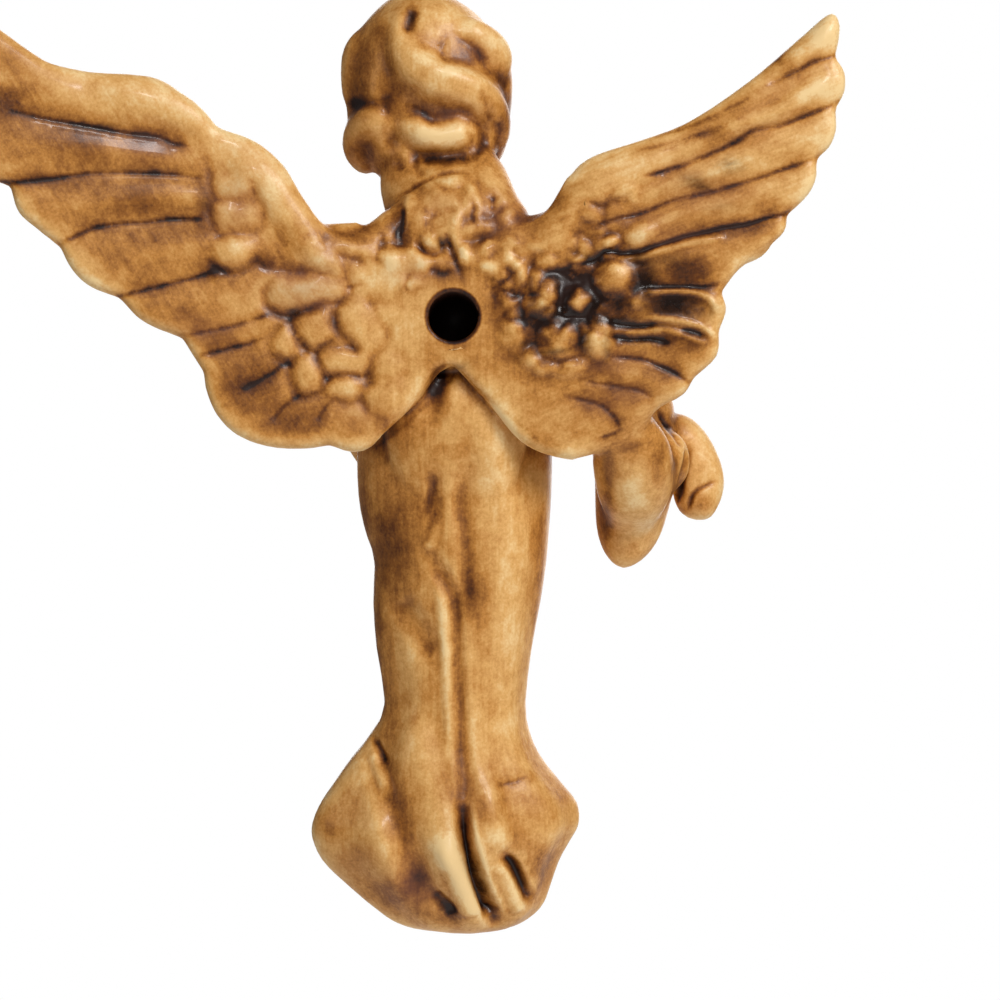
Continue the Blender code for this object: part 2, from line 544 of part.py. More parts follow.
def soften(mesh, smoothing, pull=0.5, push=-0.4):
    """Evens the skin out, then swells it most of the way back, so that thin wings don't shrink."""
    rounds = max(1, round(smoothing / CLAY_GRAIN**2))
    ends = np.empty(len(mesh.edges) * 2, int)
    mesh.edges.foreach_get("vertices", ends)
    first, second = ends.reshape(-1, 2).T
    points = coordinates(mesh)
    count = len(points)
    neighbours = np.maximum(np.bincount(first, minlength=count) + np.bincount(second, minlength=count), 1)
    for _ in range(rounds):
        for share in (pull, push):
            total = np.empty_like(points)
            for axis in range(3):
                total[:, axis] = np.bincount(first, points[second, axis], count)
                total[:, axis] += np.bincount(second, points[first, axis], count)
            points = points + share * (total / neighbours[:, None] - points)
    store(mesh, points)


def stroke(points, normals, path, side, width, depth, foremost, ends=0.15):
    """Presses a groove of this width and depth along a path drawn on the back or the front.

    Nothing further forward than the foremost plane is touched.
    """
    line = spline(path, np.linspace(0, 1, 8 * (len(path) - 1) + 1))
    low, high = line.min(axis=0) - width, line.max(axis=0) + width
    near = np.nonzero(
        (points[:, 0] > low[0])
        & (points[:, 0] < high[0])
        & (points[:, 2] > low[1])
        & (points[:, 2] < high[1])
        & (points[:, 1] > foremost)
        & (normals[:, 1] * side > 0.05)
    )[0]
    flat = points[near][:, [0, 2]]
    best = np.full(len(near), np.inf)
    share = np.zeros(len(near))
    for number, (start, end) in enumerate(zip(line[:-1], line[1:])):
        run = end - start
        along = np.clip(((flat - start) @ run) / (run @ run), 0, 1)
        distance = np.linalg.norm(flat - start - along[:, None] * run, axis=1)
        closer = distance < best
        best[closer] = distance[closer]
        share[closer] = (number + along[closer]) / (len(line) - 1)
    across = np.clip(1 - (best / width) ** 2, 0, 1) ** 2
    fade = np.clip(np.minimum(share, 1 - share) / ends, 0, 1)
    turned = np.clip(normals[near, 1] * side * 2.5, 0, 1)
    points[near] -= normals[near] * (depth * across * (0.35 + 0.65 * fade) * turned)[:, None]


def raise_lumps(points, normals, lumps):
    """Rounded lumps on the back. Where two meet, the higher one shows, and a crease is left between them."""
    near = np.nonzero((normals[:, 1] > 0.1) & (points[:, 1] > -24) & (np.abs(points[:, 0]) < 65))[0]
    flat = points[near][:, [0, 2]]
    height = np.zeros(len(near))
    for x, z, half_width, half_height, turn, rise in lumps:
        cosine, sine = math.cos(math.radians(turn)), math.sin(math.radians(turn))
        away_x, away_z = flat[:, 0] - x, flat[:, 1] - z
        across = (away_x * cosine + away_z * sine) / (half_width * LUMP_SPREAD)
        along = (away_z * cosine - away_x * sine) / (half_height * LUMP_SPREAD)
        height = np.maximum(height, rise * (1 - across**2 - along**2))
    points[near] += normals[near] * (height * np.clip(normals[near, 1] * 2, 0, 1))[:, None]


def face_the_hole(points):
    """Levels a round land for the hole's mouth on the plane through the origin."""
    land = (HOLE_DIAMETER / 2 + HOLE_LAND_WIDTH) / PART
    radius = np.hypot(points[:, 0], points[:, 2])
    blend = np.clip((land * 1.7 - radius) / (land * 0.7), 0, 1)
    blend = blend * blend * (3 - 2 * blend)
    back = points[:, 1] > -8
    points[back, 1] += (blend * -points[:, 1])[back]


def carve_face(points, normals):
    centre = np.array([HEAD_CENTRE[0], HEAD_CENTRE[2]])
    for width, depth, path in FACE_CARVING:
        for mirror in (-1, 1):
            stroke(points, normals, centre + np.array(path) * (mirror, 1), FRONT, width, depth, HEAD_FRONT)


def carve(mesh):
    points = coordinates(mesh)
    normals = outward(mesh)
    for crease in RIGHT_CREASES + LEFT_CREASES:
        for side in (BACK, FRONT):
            stroke(points, normals, crease, side, CREASE_WIDTH, CREASE_DEPTH, WING_FRONT)
    for side, width, depth, path in GOWN_FOLDS:
        stroke(points, normals, path, side, width, depth, GOWN_FRONT)
    carve_face(points, normals)
    raise_lumps(points, normals, LEFT_COVERTS + RIGHT_COVERTS + BACK_CURLS)
    face_the_hole(points)
    store(mesh, points)


def clay_object(name, lay_all):
    clay = bmesh.new()
    lay_all(clay)
    mesh = bpy.data.meshes.new(name)
    clay.to_mesh(mesh)
    clay.free()
    return bpy.data.objects.new(name, mesh)


def lay_figure(clay):
    lay_body(clay)
    lay_head(clay)
    lay_arms(clay)
    lay_wings(clay)


def thin_out(thing, triangles):
    """Keeps this many triangles, most of them where the skin bends."""
    thing.data.calc_loop_triangles()
    decimate = thing.modifiers.new("thin", "DECIMATE")
    decimate.ratio = triangles / len(thing.data.loop_triangles)
    settle(thing)


def hole_cutter(collection):
    """A drill of the hole's diameter, from outside the back to the hole's blind end."""
    beyond = 0.004
    bpy.ops.mesh.primitive_cylinder_add(
        vertices=HOLE_SIDES,
        radius=HOLE_DIAMETER / 2,
        depth=HOLE_DEPTH + beyond,
        location=(0, (beyond - HOLE_DEPTH) / 2, 0),
        rotation=(math.radians(90), 0, 0),
    )
    drill = bpy.context.object
    drill.name = "hanging_hole_drill"
    drill.hide_render = True
    drill.display_type = "WIRE"
    for owner in drill.users_collection:
        owner.objects.unlink(drill)
    collection.objects.link(drill)
    return drill


def glaze():
    material = bpy.data.materials.new("woodtone_glaze")
    material.use_nodes = True
    shader = material.node_tree.nodes["Principled BSDF"]
    shader.inputs["Base Color"].default_value = (0.56, 0.33, 0.13, 1)
    shader.inputs["Roughness"].default_value = 0.38
    shader.inputs["Metallic"].default_value = 0.0
    return material


def new_collection(name):
    collection = bpy.data.collections.new(name)
    bpy.context.scene.collection.children.link(collection)
    return collection


def main():
    for thing in list(bpy.data.objects):
        bpy.data.objects.remove(thing)
    parts = new_collection("nativity_angel")
    cutters = new_collection("cutters")
    angel = clay_object("angel", lay_figure)
    parts.objects.link(angel)
    fuse(angel, CLAY_GRAIN)
    soften(angel.data, SMOOTHING)
    carve(angel.data)
    soften(angel.data, 1)
    thin_out(angel, SOLID_TRIANGLES)
    angel.data.transform(Matrix.Scale(PART, 4))
    angel.data.shade_smooth()
    angel.data.materials.append(glaze())
    drilled = angel.modifiers.new("hanging hole", "BOOLEAN")
    drilled.operation = "DIFFERENCE"
    drilled.object = hole_cutter(cutters)


main()
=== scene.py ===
"""The looks of a slip-cast ceramic nativity angel with a wood-tone glaze, seen from its back.

The angel is sculpted again from the same masses as its solid, on a finer grain: masses are laid on like clay
and fused, then feathers, folds, curls and the face are carved. The glaze is painted on as soft fields that
gather in the creases, some of them painted shade and painted highlights, and its material turns the fields into
colour, gloss and grain.
"""

import math

import bmesh
import bpy
import numpy as np
from mathutils import Matrix, Vector, noise
from mathutils.kdtree import KDTree


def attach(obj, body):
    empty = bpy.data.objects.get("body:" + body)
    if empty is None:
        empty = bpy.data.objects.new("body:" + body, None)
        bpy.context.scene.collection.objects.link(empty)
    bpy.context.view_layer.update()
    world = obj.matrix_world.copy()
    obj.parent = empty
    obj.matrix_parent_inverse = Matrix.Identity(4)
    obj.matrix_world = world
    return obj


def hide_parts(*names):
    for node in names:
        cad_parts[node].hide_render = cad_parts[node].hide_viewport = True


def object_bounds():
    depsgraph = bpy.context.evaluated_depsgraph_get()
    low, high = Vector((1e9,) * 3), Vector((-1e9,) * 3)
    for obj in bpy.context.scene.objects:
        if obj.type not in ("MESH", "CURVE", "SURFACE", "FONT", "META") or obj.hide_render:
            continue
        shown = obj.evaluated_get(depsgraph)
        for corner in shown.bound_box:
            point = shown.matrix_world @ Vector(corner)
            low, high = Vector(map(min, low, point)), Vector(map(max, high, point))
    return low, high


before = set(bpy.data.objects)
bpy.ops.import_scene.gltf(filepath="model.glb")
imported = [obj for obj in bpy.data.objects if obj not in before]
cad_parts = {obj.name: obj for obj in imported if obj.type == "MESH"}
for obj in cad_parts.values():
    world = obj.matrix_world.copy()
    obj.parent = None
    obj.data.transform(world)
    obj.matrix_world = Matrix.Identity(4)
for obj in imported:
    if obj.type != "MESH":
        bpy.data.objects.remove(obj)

CAD_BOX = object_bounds()

# One fixed seed, because the noise that makes the clay uneven would otherwise be seeded from the clock.
noise.seed_set(7)

# Driving sizes, in metres, as in the part.
FIGURE_HEIGHT = 0.244
HOLE_DIAMETER = 0.0125
HOLE_DEPTH = 0.022
HOLE_LAND_WIDTH = 0.0025

# The figure is drawn in parts of its own height, 244 of them from hem to crown.
PARTS_IN_HEIGHT = 244
PART = FIGURE_HEIGHT / PARTS_IN_HEIGHT

# How finely the clay is fused and how many triangles the finished skin keeps.
CLAY_GRAIN = 0.55
SMOOTHING = 5
SKIN_TRIANGLES = 194000

HEAD_CENTRE = (6.6, -27, 63)
HEAD_NOD_DEGREES = 8
BACK = 1
FRONT = -1

# The gown from the neck to the hem: x, y, z, half width and half depth of each level.
GOWN = [
    (1, -22, 32, 12, 10),
    (0.5, -22.5, 27, 18, 12),
    (0, -22.5, 22, 23.5, 13),
    (0, -23, 15, 27.5, 15),
    (0, -25, 6, 29, 18),
    (0, -25.5, -8, 27.5, 18.5),
    (0, -25.5, -22, 25, 17.5),
    (0, -25.5, -35.4, 25.3, 18.5),
    (-0.1, -25.5, -46, 24.9, 18.5),
    (-0.6, -25.5, -54, 23.8, 18.5),
    (-1.4, -25, -61.5, 22.3, 18),
    (-0.4, -25, -72, 21.7, 17),
    (0.4, -25, -84.3, 20.1, 16),
    (0.2, -25, -98.8, 18.2, 15.5),
    (1.6, -25, -106.9, 20.8, 16),
    (2.7, -25.5, -113.3, 24.9, 17.5),
    (2.5, -26, -119.8, 29.7, 19),
    (2.4, -26.5, -124.6, 33.1, 20.5),
    (3.2, -26.5, -130, 34.2, 21.4),
    (4, -26.5, -134.5, 32.6, 21.4),
    (3.9, -26.5, -139.5, 29.8, 20.5),
    (1.7, -26, -145.4, 25.6, 18.6),
    (-0.6, -25.5, -151, 21.2, 16),
    (-1.4, -25, -155, 16, 12.4),
    (-3, -25, -158, 8, 7),
]

# The edge of each wing, as x and z, in runs. A run is a smooth curve, and runs meet in a notch.
RIGHT_WING_EDGE = [
    [(-10, 20), (-22, 25.5), (-28, 34), (-34, 40), (-47, 44.4), (-59, 49), (-74, 59), (-87, 70),
     (-94, 75.8), (-96.6, 74), (-96.6, 68.6), (-95.4, 64.6)],
    [(-95.4, 64.6), (-98, 61), (-98, 55.6), (-95.6, 51.6)],
    [(-95.6, 51.6), (-96, 46.6), (-94.2, 41.8), (-91, 39.3)],
    [(-91, 39.3), (-90.8, 34.6), (-88.6, 30), (-83.6, 25.2)],
    [(-83.6, 25.2), (-82.8, 21), (-78, 16.6), (-71.5, 11.6), (-67.2, 6)],
    [(-67.2, 6), (-68.4, 1.6), (-66.6, -3.6)],
    [(-66.6, -3.6), (-66, -10), (-60.4, -15.4)],
    [(-60.4, -15.4), (-57.4, -20), (-51.6, -23.4)],
    [(-51.6, -23.4), (-48, -27.6), (-41, -31.8), (-34, -35.8), (-25.5, -35.2), (-17, -31.4), (-10, -23),
     (-4, -16.4), (1.3, -11)],
    [(1.3, -11), (8, 0), (2, 14), (-10, 20)],
]
LEFT_WING_EDGE = [
    [(12, 17), (29.5, 21), (37.5, 30), (42, 37.6), (48.8, 43.6), (56, 46.3), (61.5, 48)],
    [(61.5, 48), (65, 53.2), (71, 58), (77, 59.8), (90.8, 60.4), (103.5, 63.6), (113, 69.6), (126, 80.6),
     (131, 81), (131.6, 75), (127.4, 67.4)],
    [(127.4, 67.4), (130, 61), (127.4, 53), (119.6, 44.6)],
    [(119.6, 44.6), (120, 39), (116.4, 34.2), (109, 31.3)],
    [(109, 31.3), (107, 25), (102.4, 20.8), (97, 16.4)],
    [(97, 16.4), (94.2, 11), (90, 7), (82.6, 4)],
    [(82.6, 4), (77, -1.6), (67.3, -5.8)],
    [(67.3, -5.8), (65, -9.6), (62.2, -14)],
    [(62.2, -14), (61.4, -19), (59, -24.6), (55, -29), (50, -31.6), (44, -33), (37, -33.2), (31, -32.3)],
    [(31, -32.3), (25.5, -34), (21, -33), (16.5, -28.5), (10.5, -22.8), (4.8, -15), (-1.8, -11.5)],
    [(-1.8, -11.5), (-8, 0), (-2, 14), (12, 17)],
]
WING_HALF_THICKNESS = 2.9
WING_EDGE_ROUNDING = 0.9
WING_SPAN = 132
WING_CUT_STEP = 6
WING_ROOT_DEPTH = -3.2
RIGHT_WING_SWEEP = 4.5
LEFT_WING_SWEEP = 11
WING_REACH = 100
SWEEP_POWER = 1.7

# Wing feathers, from the leading edge down. Each row is the root, a middle point and the tip as x and z,
# then the half width at the root, the middle and near the tip.
RIGHT_FEATHERS = [
    (-38, 33.6, -66, 45.4, -91.5, 68, 4.6, 4.8, 4.6),
    (-44, 33, -74, 47.6, -94.6, 58, 4.2, 4.8, 5.6),
    (-38, 26.5, -68, 37.5, -93.6, 46, 4.6, 5.2, 5.6),
    (-32, 17, -62, 26.6, -88, 33.4, 4.0, 5.2, 6.2),
    (-30, 9.5, -56, 14.4, -80, 21.4, 5.0, 6.4, 5.8),
    (-28, 2.5, -50, 2.5, -65.6, 1.4, 4.4, 5.0, 4.6),
    (-28, -4.5, -48, -7, -63.6, -9, 4.2, 4.8, 4.8),
    (-26, -11, -42, -14, -57.6, -17.6, 4.0, 4.4, 4.2),
    (-22, -14, -36, -20.5, -50, -24.2, 4.2, 4.6, 4.2),
    (-5, -8, -20, -22, -38, -30.4, 5.0, 7.6, 4.6),
]
LEFT_FEATHERS = [
    (64, 46.6, 96, 54.6, 124, 73, 4.6, 5.0, 5.2),
    (64, 45.6, 98, 53, 125.6, 62.6, 4.4, 5.8, 6.6),
    (58, 37, 88, 40.4, 115.8, 42, 4.0, 5.8, 7.6),
    (52, 28.6, 78, 29, 104, 25.4, 4.6, 6.2, 7.0),
    (50, 18, 70, 16.6, 91.6, 11.4, 5.4, 7.4, 6.6),
    (44, 7, 60, 4, 76, 0, 5.4, 6.0, 5.2),
    (38, 0.6, 50, -3.6, 63.6, -8, 3.2, 3.6, 3.4),
    (34, -6, 46, -11.6, 58.6, -18, 4.6, 5.2, 4.8),
    (28, -12, 39, -19.4, 52.6, -26, 5.0, 5.6, 5.0),
    (20, -15, 30, -23, 41.6, -29.4, 5.4, 6.0, 5.0),
    (4, -6, 14, -16.5, 26, -29.4, 5.0, 7.0, 5.6),
]
FEATHER_HALF_DEPTH = 3.5
FEATHER_STEP = 0.1

# The thick root of each wing, as x, y, z, half width and half depth.
RIGHT_WING_ROOT = [
    (4, -6, 2, 12, 5),
    (-14, -5.8, 4, 19, 5.8),
    (-30, -5.2, 8, 20, 5.4),
    (-44, -4.2, 14, 15, 4.4),
]
LEFT_WING_ROOT = [
    (-4, -6, 2, 12, 5),
    (14, -5.8, 2, 18, 5.8),
    (32, -5, 4, 22, 5.6),
    (50, -3.6, 16, 17, 4.8),
]
RIGHT_WING_ARM = [
    (-12, -8, 12, 8, 6),
    (-24, -3.6, 19, 6, 5),
    (-34.6, -2.6, 31, 5.6, 4.6),
    (-48, -1.8, 37, 6, 4.2),
    (-66, -1, 45.4, 5, 4),
]
LEFT_WING_ARM = [
    (12, -8, 8, 8, 6),
    (30, -3, 12, 6, 5),
    (40, -1.4, 23, 6, 4.8),
    (49, 0, 34, 7, 4.6),
    (60, 1.4, 39.6, 6.4, 4.2),
]
LEFT_WING_CREST = [
    (58, 1.6, 43.6, 4, 3.6),
    (69, 3.4, 50.2, 5.4, 3.8),
    (79, 5, 53.4, 5.6, 3.8),
    (95, 7.4, 56, 4, 3.4),
]

CREASE_FRONT_SHARE = 0.7
WING_FRONT = -12
GOWN_FRONT = -49.5
HEAD_FRONT = -60
LUMP_SPREAD = 1.2
LUMP_WARP = 1.6
ROUGHNESS = 0.35
CURL_SIZE = 8.0
CURL_RISE = 1.7
HAIR_SMOOTHING = 14
SHOULDER_SMOOTHING = 9
SLEEVE_SMOOTHING = 60

# Creases between the feathers, as the width, the depth, and x, z and how dark the stain is along them.
LEFT_CREASES = [
    (1.7, 0.64, [(108.2, 49.5, 0.35), (102, 48.2, 0.3), (95.8, 47.2, 0.7), (89, 46.2, 1),
        (80.8, 44.8, 0.9), (73.2, 44, 0.6), (69.5, 42.5, 0.5), (65.8, 42, 0.4)]),
    (1.7, 0.64, [(110.8, 32.2, 0.8), (105.8, 32.2, 0.6), (98.2, 33.2, 0.5), (90.8, 34.5, 0.35),
        (83.2, 35, 0.3), (76.2, 35, 0.9), (73.2, 35, 0.9), (68.2, 34.8, 0.4), (62.8, 34, 0.5)]),
    (1.8, 0.72, [(98.8, 16.5, 0.8), (93.2, 19, 0.6), (89.5, 20.8, 0.6), (85.8, 21.8, 0.55),
        (80.8, 22.5, 0.45), (75.8, 22.8, 0.4), (71.2, 23.5, 0.9), (67, 23.8, 1), (62.8, 23.8, 0.8)]),
    (1.7, 0.72, [(83.8, 4.2, 0.8), (78.2, 5.5, 0.7), (73.2, 6.8, 0.7), (68.2, 8.2, 0.65),
        (63.2, 9.5, 0.8), (59, 11, 0.8)]),
    (1.4, 0.4, [(67.5, -5, 0.3), (63.2, -4.5, 0.5), (60.8, -4, 0.4), (55.8, -3, 0.6),
        (50.8, -1.5, 0.5), (46.2, 0.2, 0.5)]),
    (1.5, 0.56, [(62.5, -10, 0.4), (58.2, -9, 0.5), (54.5, -8, 0.8), (51.5, -7.2, 0.7), (47.8, -6, 0.5)]),
    (1.1, 0.4, [(52.2, -18.5, 0.4), (49.5, -17, 0.6), (47, -15.5, 0.5), (44.5, -14, 0.7),
        (42.5, -12.5, 0.8), (40.5, -12, 0.6)]),
    (1.4, 0.4, [(45.2, -26.5, 0.3), (42.8, -23.5, 0.45), (40.8, -21.8, 0.35), (38.5, -20, 0.5)]),
    (1.2, 0.32, [(33.8, -26.2, 0.4), (32.8, -24.2, 0.4), (31, -21.8, 0.2)]),
]
RIGHT_CREASES = [
    (1.6, 0.8, [(-95.2, 64.8, 0.9), (-93, 64, 0.6), (-89.8, 63, 0.6), (-86, 61, 0.6),
        (-81.8, 59.2, 0.2), (-78, 57.2, 0.1)]),
    (1.7, 0.9, [(-96.2, 53.2, 0.8), (-93, 51.8, 1), (-89.8, 50.5, 0.9), (-86.2, 49, 0.7),
        (-82.2, 47.5, 0.4), (-78.8, 46.8, 0.3), (-74.8, 46, 0.4), (-71.2, 43.8, 0.5), (-68, 42, 0.6),
        (-63, 39.8, 0.7), (-59.2, 38.2, 0.8), (-54.2, 36.5, 0.9), (-50.8, 35.5, 0.9), (-48, 35, 0.4)]),
    (1.6, 0.8, [(-92.2, 39.8, 0.7), (-88, 38.2, 0.6), (-84.2, 37, 0.9), (-81.5, 36.2, 0.8),
        (-76.8, 34.5, 0.6), (-71.8, 33, 0.6), (-66.8, 31.5, 0.6), (-63.2, 30.5, 0.9),
        (-59.2, 29.8, 0.7), (-54.2, 28.5, 0.5), (-49.2, 26.5, 0.7), (-45.5, 25.2, 0.6),
        (-41.8, 24.5, 0.4), (-36.8, 22.8, 0.2)]),
    (1.5, 1.1, [(-84.8, 25.8, 0.9), (-81.8, 25, 1), (-78, 24.2, 1), (-73, 22.8, 1), (-66.8, 21.8, 1),
        (-63, 20.8, 1), (-58, 19.8, 1), (-53, 18.2, 1), (-48.8, 17, 1), (-45.5, 16, 1),
        (-42.2, 15.5, 1), (-39.5, 16.2, 1), (-37.5, 15.8, 1), (-35.5, 14, 1), (-33, 13.2, 1),
        (-31, 12.8, 0.8)]),
    (1.4, 0.7, [(-67.2, 8, 0.4), (-63, 7.2, 0.7), (-59.2, 7.2, 0.8), (-54.2, 7.2, 0.9),
        (-49.8, 6.8, 0.9)]),
    (1.6, 0.9, [(-39.2, -1.8, 0.9), (-42.2, -2.2, 0.9), (-46.8, -2.5, 0.9), (-50.5, -2, 0.5)]),
    (1.2, 0.7, [(-56.8, -3.2, 0.5), (-59.2, -3.8, 0.9), (-61, -4.2, 0.9), (-62.5, -5.2, 0.4)]),
    (2, 1, [(-40, -5.2, 0.8), (-44.2, -6, 0.9), (-48, -5.8, 0.9), (-51.2, -6, 0.9), (-53.8, -6.8, 0.5)]),
    (1.6, 0.8, [(-39.2, -10, 0.4), (-44.2, -10.5, 0.6), (-48, -11, 0.6), (-50.5, -12, 0.5),
        (-53.8, -13.5, 0.8), (-56.2, -14.8, 0.9), (-58.8, -16.5, 0.5)]),
    (1.2, 0.5, [(-29.2, -20.2, 0.3), (-33, -21, 0.4), (-36.8, -22.2, 0.4), (-39.2, -24, 0.7),
        (-40.8, -26, 0.8), (-41.8, -28, 0.6)]),
    (1, 0.4, [(-36.8, -30.5, 0.5), (-40, -29.5, 0.5), (-42, -28, 0.4)]),
    (1.3, 0.5, [(-32.5, -16, 0.3), (-36.8, -16.8, 0.3), (-43, -17.8, 0.2), (-47.2, -18.8, 0.3),
        (-50.2, -20.8, 0.2)]),
    (0.7, 0.15, [(-73.5, 54, 0.5), (-69.2, 51.8, 0.5), (-63, 48.8, 0.5), (-56.8, 46.5, 0.5),
        (-50.5, 45, 0.4)]),
    (0.7, 0.15, [(-72.2, 49.2, 0.5), (-66.8, 47, 0.5), (-61.8, 45.2, 0.6), (-56.8, 43.8, 0.5),
        (-51.8, 42.5, 0.5), (-46.8, 41.5, 0.4)]),
    (0.7, 0.1, [(-66.8, 46.2, 0.4), (-59.2, 43.8, 0.4), (-53, 41, 0.4)]),
    (0.6, 0.1, [(-84.2, 67, 0.5), (-80.8, 64, 0.5), (-78, 61, 0.4)]),
]

# Grooves round the small feathers at the wings' roots and between the curls of the upper back.
LEFT_STONES = [
    (1.3, 0.7, [(26, 6, 0.6), (27.5, 4, 0.6), (29.5, 3.5, 0.6), (32.8, 3, 0.7), (35.5, 2, 1),
        (37.5, 1.2, 1), (39, 0.5, 1), (40.5, 0, 0.9), (42.5, 0, 0.5), (44.5, 0.8, 0.5),
        (46.2, 2.5, 0.5), (46.8, 4.8, 0.5), (46.2, 7, 0.4), (45, 8.8, 0.3)]),
    (2.4, 0.63, [(42.8, 13.2, 0.3), (41.2, 11.5, 0.5), (39.8, 10.2, 0.6), (38, 10.5, 0.5),
        (36.2, 11.5, 0.2)]),
    (1.3, 0.42, [(27.5, 16.5, 0.5), (27.8, 14, 0.4), (27, 11, 0.5), (26, 8.2, 0.6), (25.2, 6.2, 0.7)]),
    (1, 0.35, [(26, 7.2, 0.6), (24.2, 7.8, 0.7), (22.5, 8.2, 0.5)]),
    (1.3, 0.63, [(41, 0, 0.9), (40.2, -2.2, 0.9), (39.5, -4.2, 0.9), (38.2, -6.5, 0.9),
        (36.5, -8.2, 1), (35.2, -8.5, 0.6)]),
    (1.3, 0.56, [(29, 3.2, 0.4), (29.2, 0.2, 0.6), (29.5, -1.8, 0.7), (28.8, -3.5, 0.7),
        (27, -5.2, 0.7), (25.8, -6.8, 0.8), (24.5, -8.5, 0.8), (24, -9.2, 0.4)]),
    (1.1, 0.35, [(33.8, -8.5, 0.5), (32.5, -7.5, 0.6), (30.8, -6.5, 0.5), (29.5, -6, 0.2)]),
    (1.3, 0.49, [(33.8, -8.2, 0.5), (34.2, -10.5, 0.8), (33.2, -13, 0.6), (32.2, -15, 0.6),
        (31.2, -16.2, 0.7)]),
    (1.3, 0.42, [(32, -15.2, 0.5), (29.5, -15, 0.4), (25.8, -15, 0.6), (22.8, -15.2, 0.6),
        (21, -15, 0.8)]),
    (1.3, 0.49, [(20, -9.5, 0.4), (20.5, -12, 0.5), (21.2, -14, 0.9), (20.8, -15.5, 1),
        (20.2, -16.5, 0.8), (21.8, -17.5, 0.7), (22.8, -19.2, 0.6), (22.5, -21.5, 0.5),
        (21.5, -23.2, 0.5), (20.2, -24, 0.3)]),
    (1.3, 0.35, [(21.8, 4.2, 0.5), (20.5, 3, 0.7), (19.5, 1.5, 0.4), (18, -1, 0.4), (16.2, -3.5, 0.4),
        (16.8, -6.8, 0.3), (18.5, -9, 0.3), (20, -10.5, 0.3)]),
    (1.3, 0.42, [(41.5, -1.5, 0.6), (44, -3.8, 0.5), (45.5, -6.5, 0.4), (45, -9, 0.4),
        (42.5, -10.8, 0.3), (40.2, -11.2, 0.3)]),
    (1.5, 0.42, [(38.5, -9, 0.3), (39.8, -11.5, 0.5), (40.5, -14, 0.6), (40, -16.2, 0.6),
        (39, -18.5, 0.6), (37.8, -19.8, 0.6), (35.2, -19.5, 0.8), (32.8, -19, 0.6), (31.5, -16.8, 0.4)]),
    (1.5, 0.35, [(30.8, -20.5, 0.4), (28.2, -21.5, 0.5), (25.2, -21.8, 0.5), (23, -20.8, 0.4)]),
    (1.2, 0.35, [(60.8, 39, 0.4), (60, 34, 0.4), (59.5, 29.5, 0.4), (60.2, 25.2, 0.7), (59, 22, 0.9),
        (57.8, 20, 0.7)]),
    (1.3, 0.42, [(57.8, 20, 0.5), (55.2, 21, 0.4), (51.8, 21.2, 0.3), (49.2, 21, 0.3),
        (47.2, 23.5, 0.4), (47.5, 27, 0.5), (49.2, 29.8, 0.5), (49.8, 32.8, 0.5), (50.8, 34.5, 0.4)]),
    (1.3, 0.42, [(59.2, 29, 0.4), (56.8, 28.2, 0.3), (53.8, 28, 0.3), (50.8, 29.2, 0.3)]),
    (1.2, 0.35, [(60.2, 13.5, 0.4), (57.8, 11.5, 0.5), (54.2, 10.8, 0.5), (50.8, 12, 0.4),
        (49.2, 15, 0.3)]),
    (1.2, 0.35, [(48.8, 13.5, 0.6), (46.8, 12, 0.6), (44.5, 11.5, 0.3)]),
    (1.2, 0.42, [(17.2, 20, 0.8), (18.2, 17, 0.8), (19, 14.5, 0.9), (18, 13.2, 0.6)]),
    (1, 0.28, [(27.5, 15, 0.7), (25.2, 14.5, 0.8), (22.8, 13.8, 0.7)]),
    (1.2, 0.28, [(38.2, 19, 0.3), (34.2, 19.8, 0.3), (30.8, 19.5, 0.2)]),
]
BACK_GROOVES = [
    (1.3, 0.63, [(1.8, 20.5, 0.9), (1, 18.2, 0.9), (0, 15.8, 0.8), (-1, 13, 0.8), (-2, 10.2, 0.9),
        (-2, 9.2, 0.5)]),
    (1.5, 0.63, [(6.2, 12, 0.4), (4.2, 11.2, 0.8), (2.5, 10.5, 1), (0.5, 11, 0.6)]),
    (1.8, 0.7, [(4, 20, 0.6), (3, 18.2, 1), (2.5, 16.8, 0.9)]),
    (2.4, 0.42, [(5.8, 26.8, 0.3), (4, 26, 0.5), (5.5, 24.5, 0.3)]),
    (1.2, 0.49, [(13, 28, 0.7), (12.5, 25.5, 0.8), (12.8, 23, 0.6), (14.2, 20, 0.5)]),
    (1, 0.42, [(14.2, 30.8, 0.6), (11.2, 32.2, 0.7), (8.8, 33.8, 0.6), (6.2, 35, 0.5),
        (3.2, 36.2, 0.6), (-0.5, 36.8, 0.4), (-3.8, 36.5, 0.4)]),
    (1.5, 0.63, [(8.8, 19.5, 0.4), (7.8, 17, 0.6), (5.5, 15.5, 0.7), (3, 16, 0.5)]),
    (1.3, 0.56, [(-5.5, 27.5, 0.9), (-4.8, 25.8, 1), (-5.2, 24, 0.6)]),
    (1.2, 0.49, [(-9.8, 30, 0.9), (-10, 28.2, 1), (-9.8, 26.8, 0.6)]),
    (1.2, 0.42, [(10.8, 10.2, 0.8), (12, 7.8, 0.8), (10.5, 5.8, 0.7), (8.2, 7, 0.7)]),
    # These last two carve nothing: with no depth they only lay a dark line along the wings' lower edges over the gown,
    # stain with painted shade under the wings' edges.
    (1.3, 0, [(-23, -32.8, 0.8), (-16.8, -27, 0.7), (-9.2, -20.8, 0.6), (-2.2, -14.2, 0.9)]),
    (1.3, 0, [(-0.5, -14.2, 0.9), (5.8, -21.2, 0.7), (12.8, -27.5, 0.7), (20.2, -32.8, 0.9)]),
]

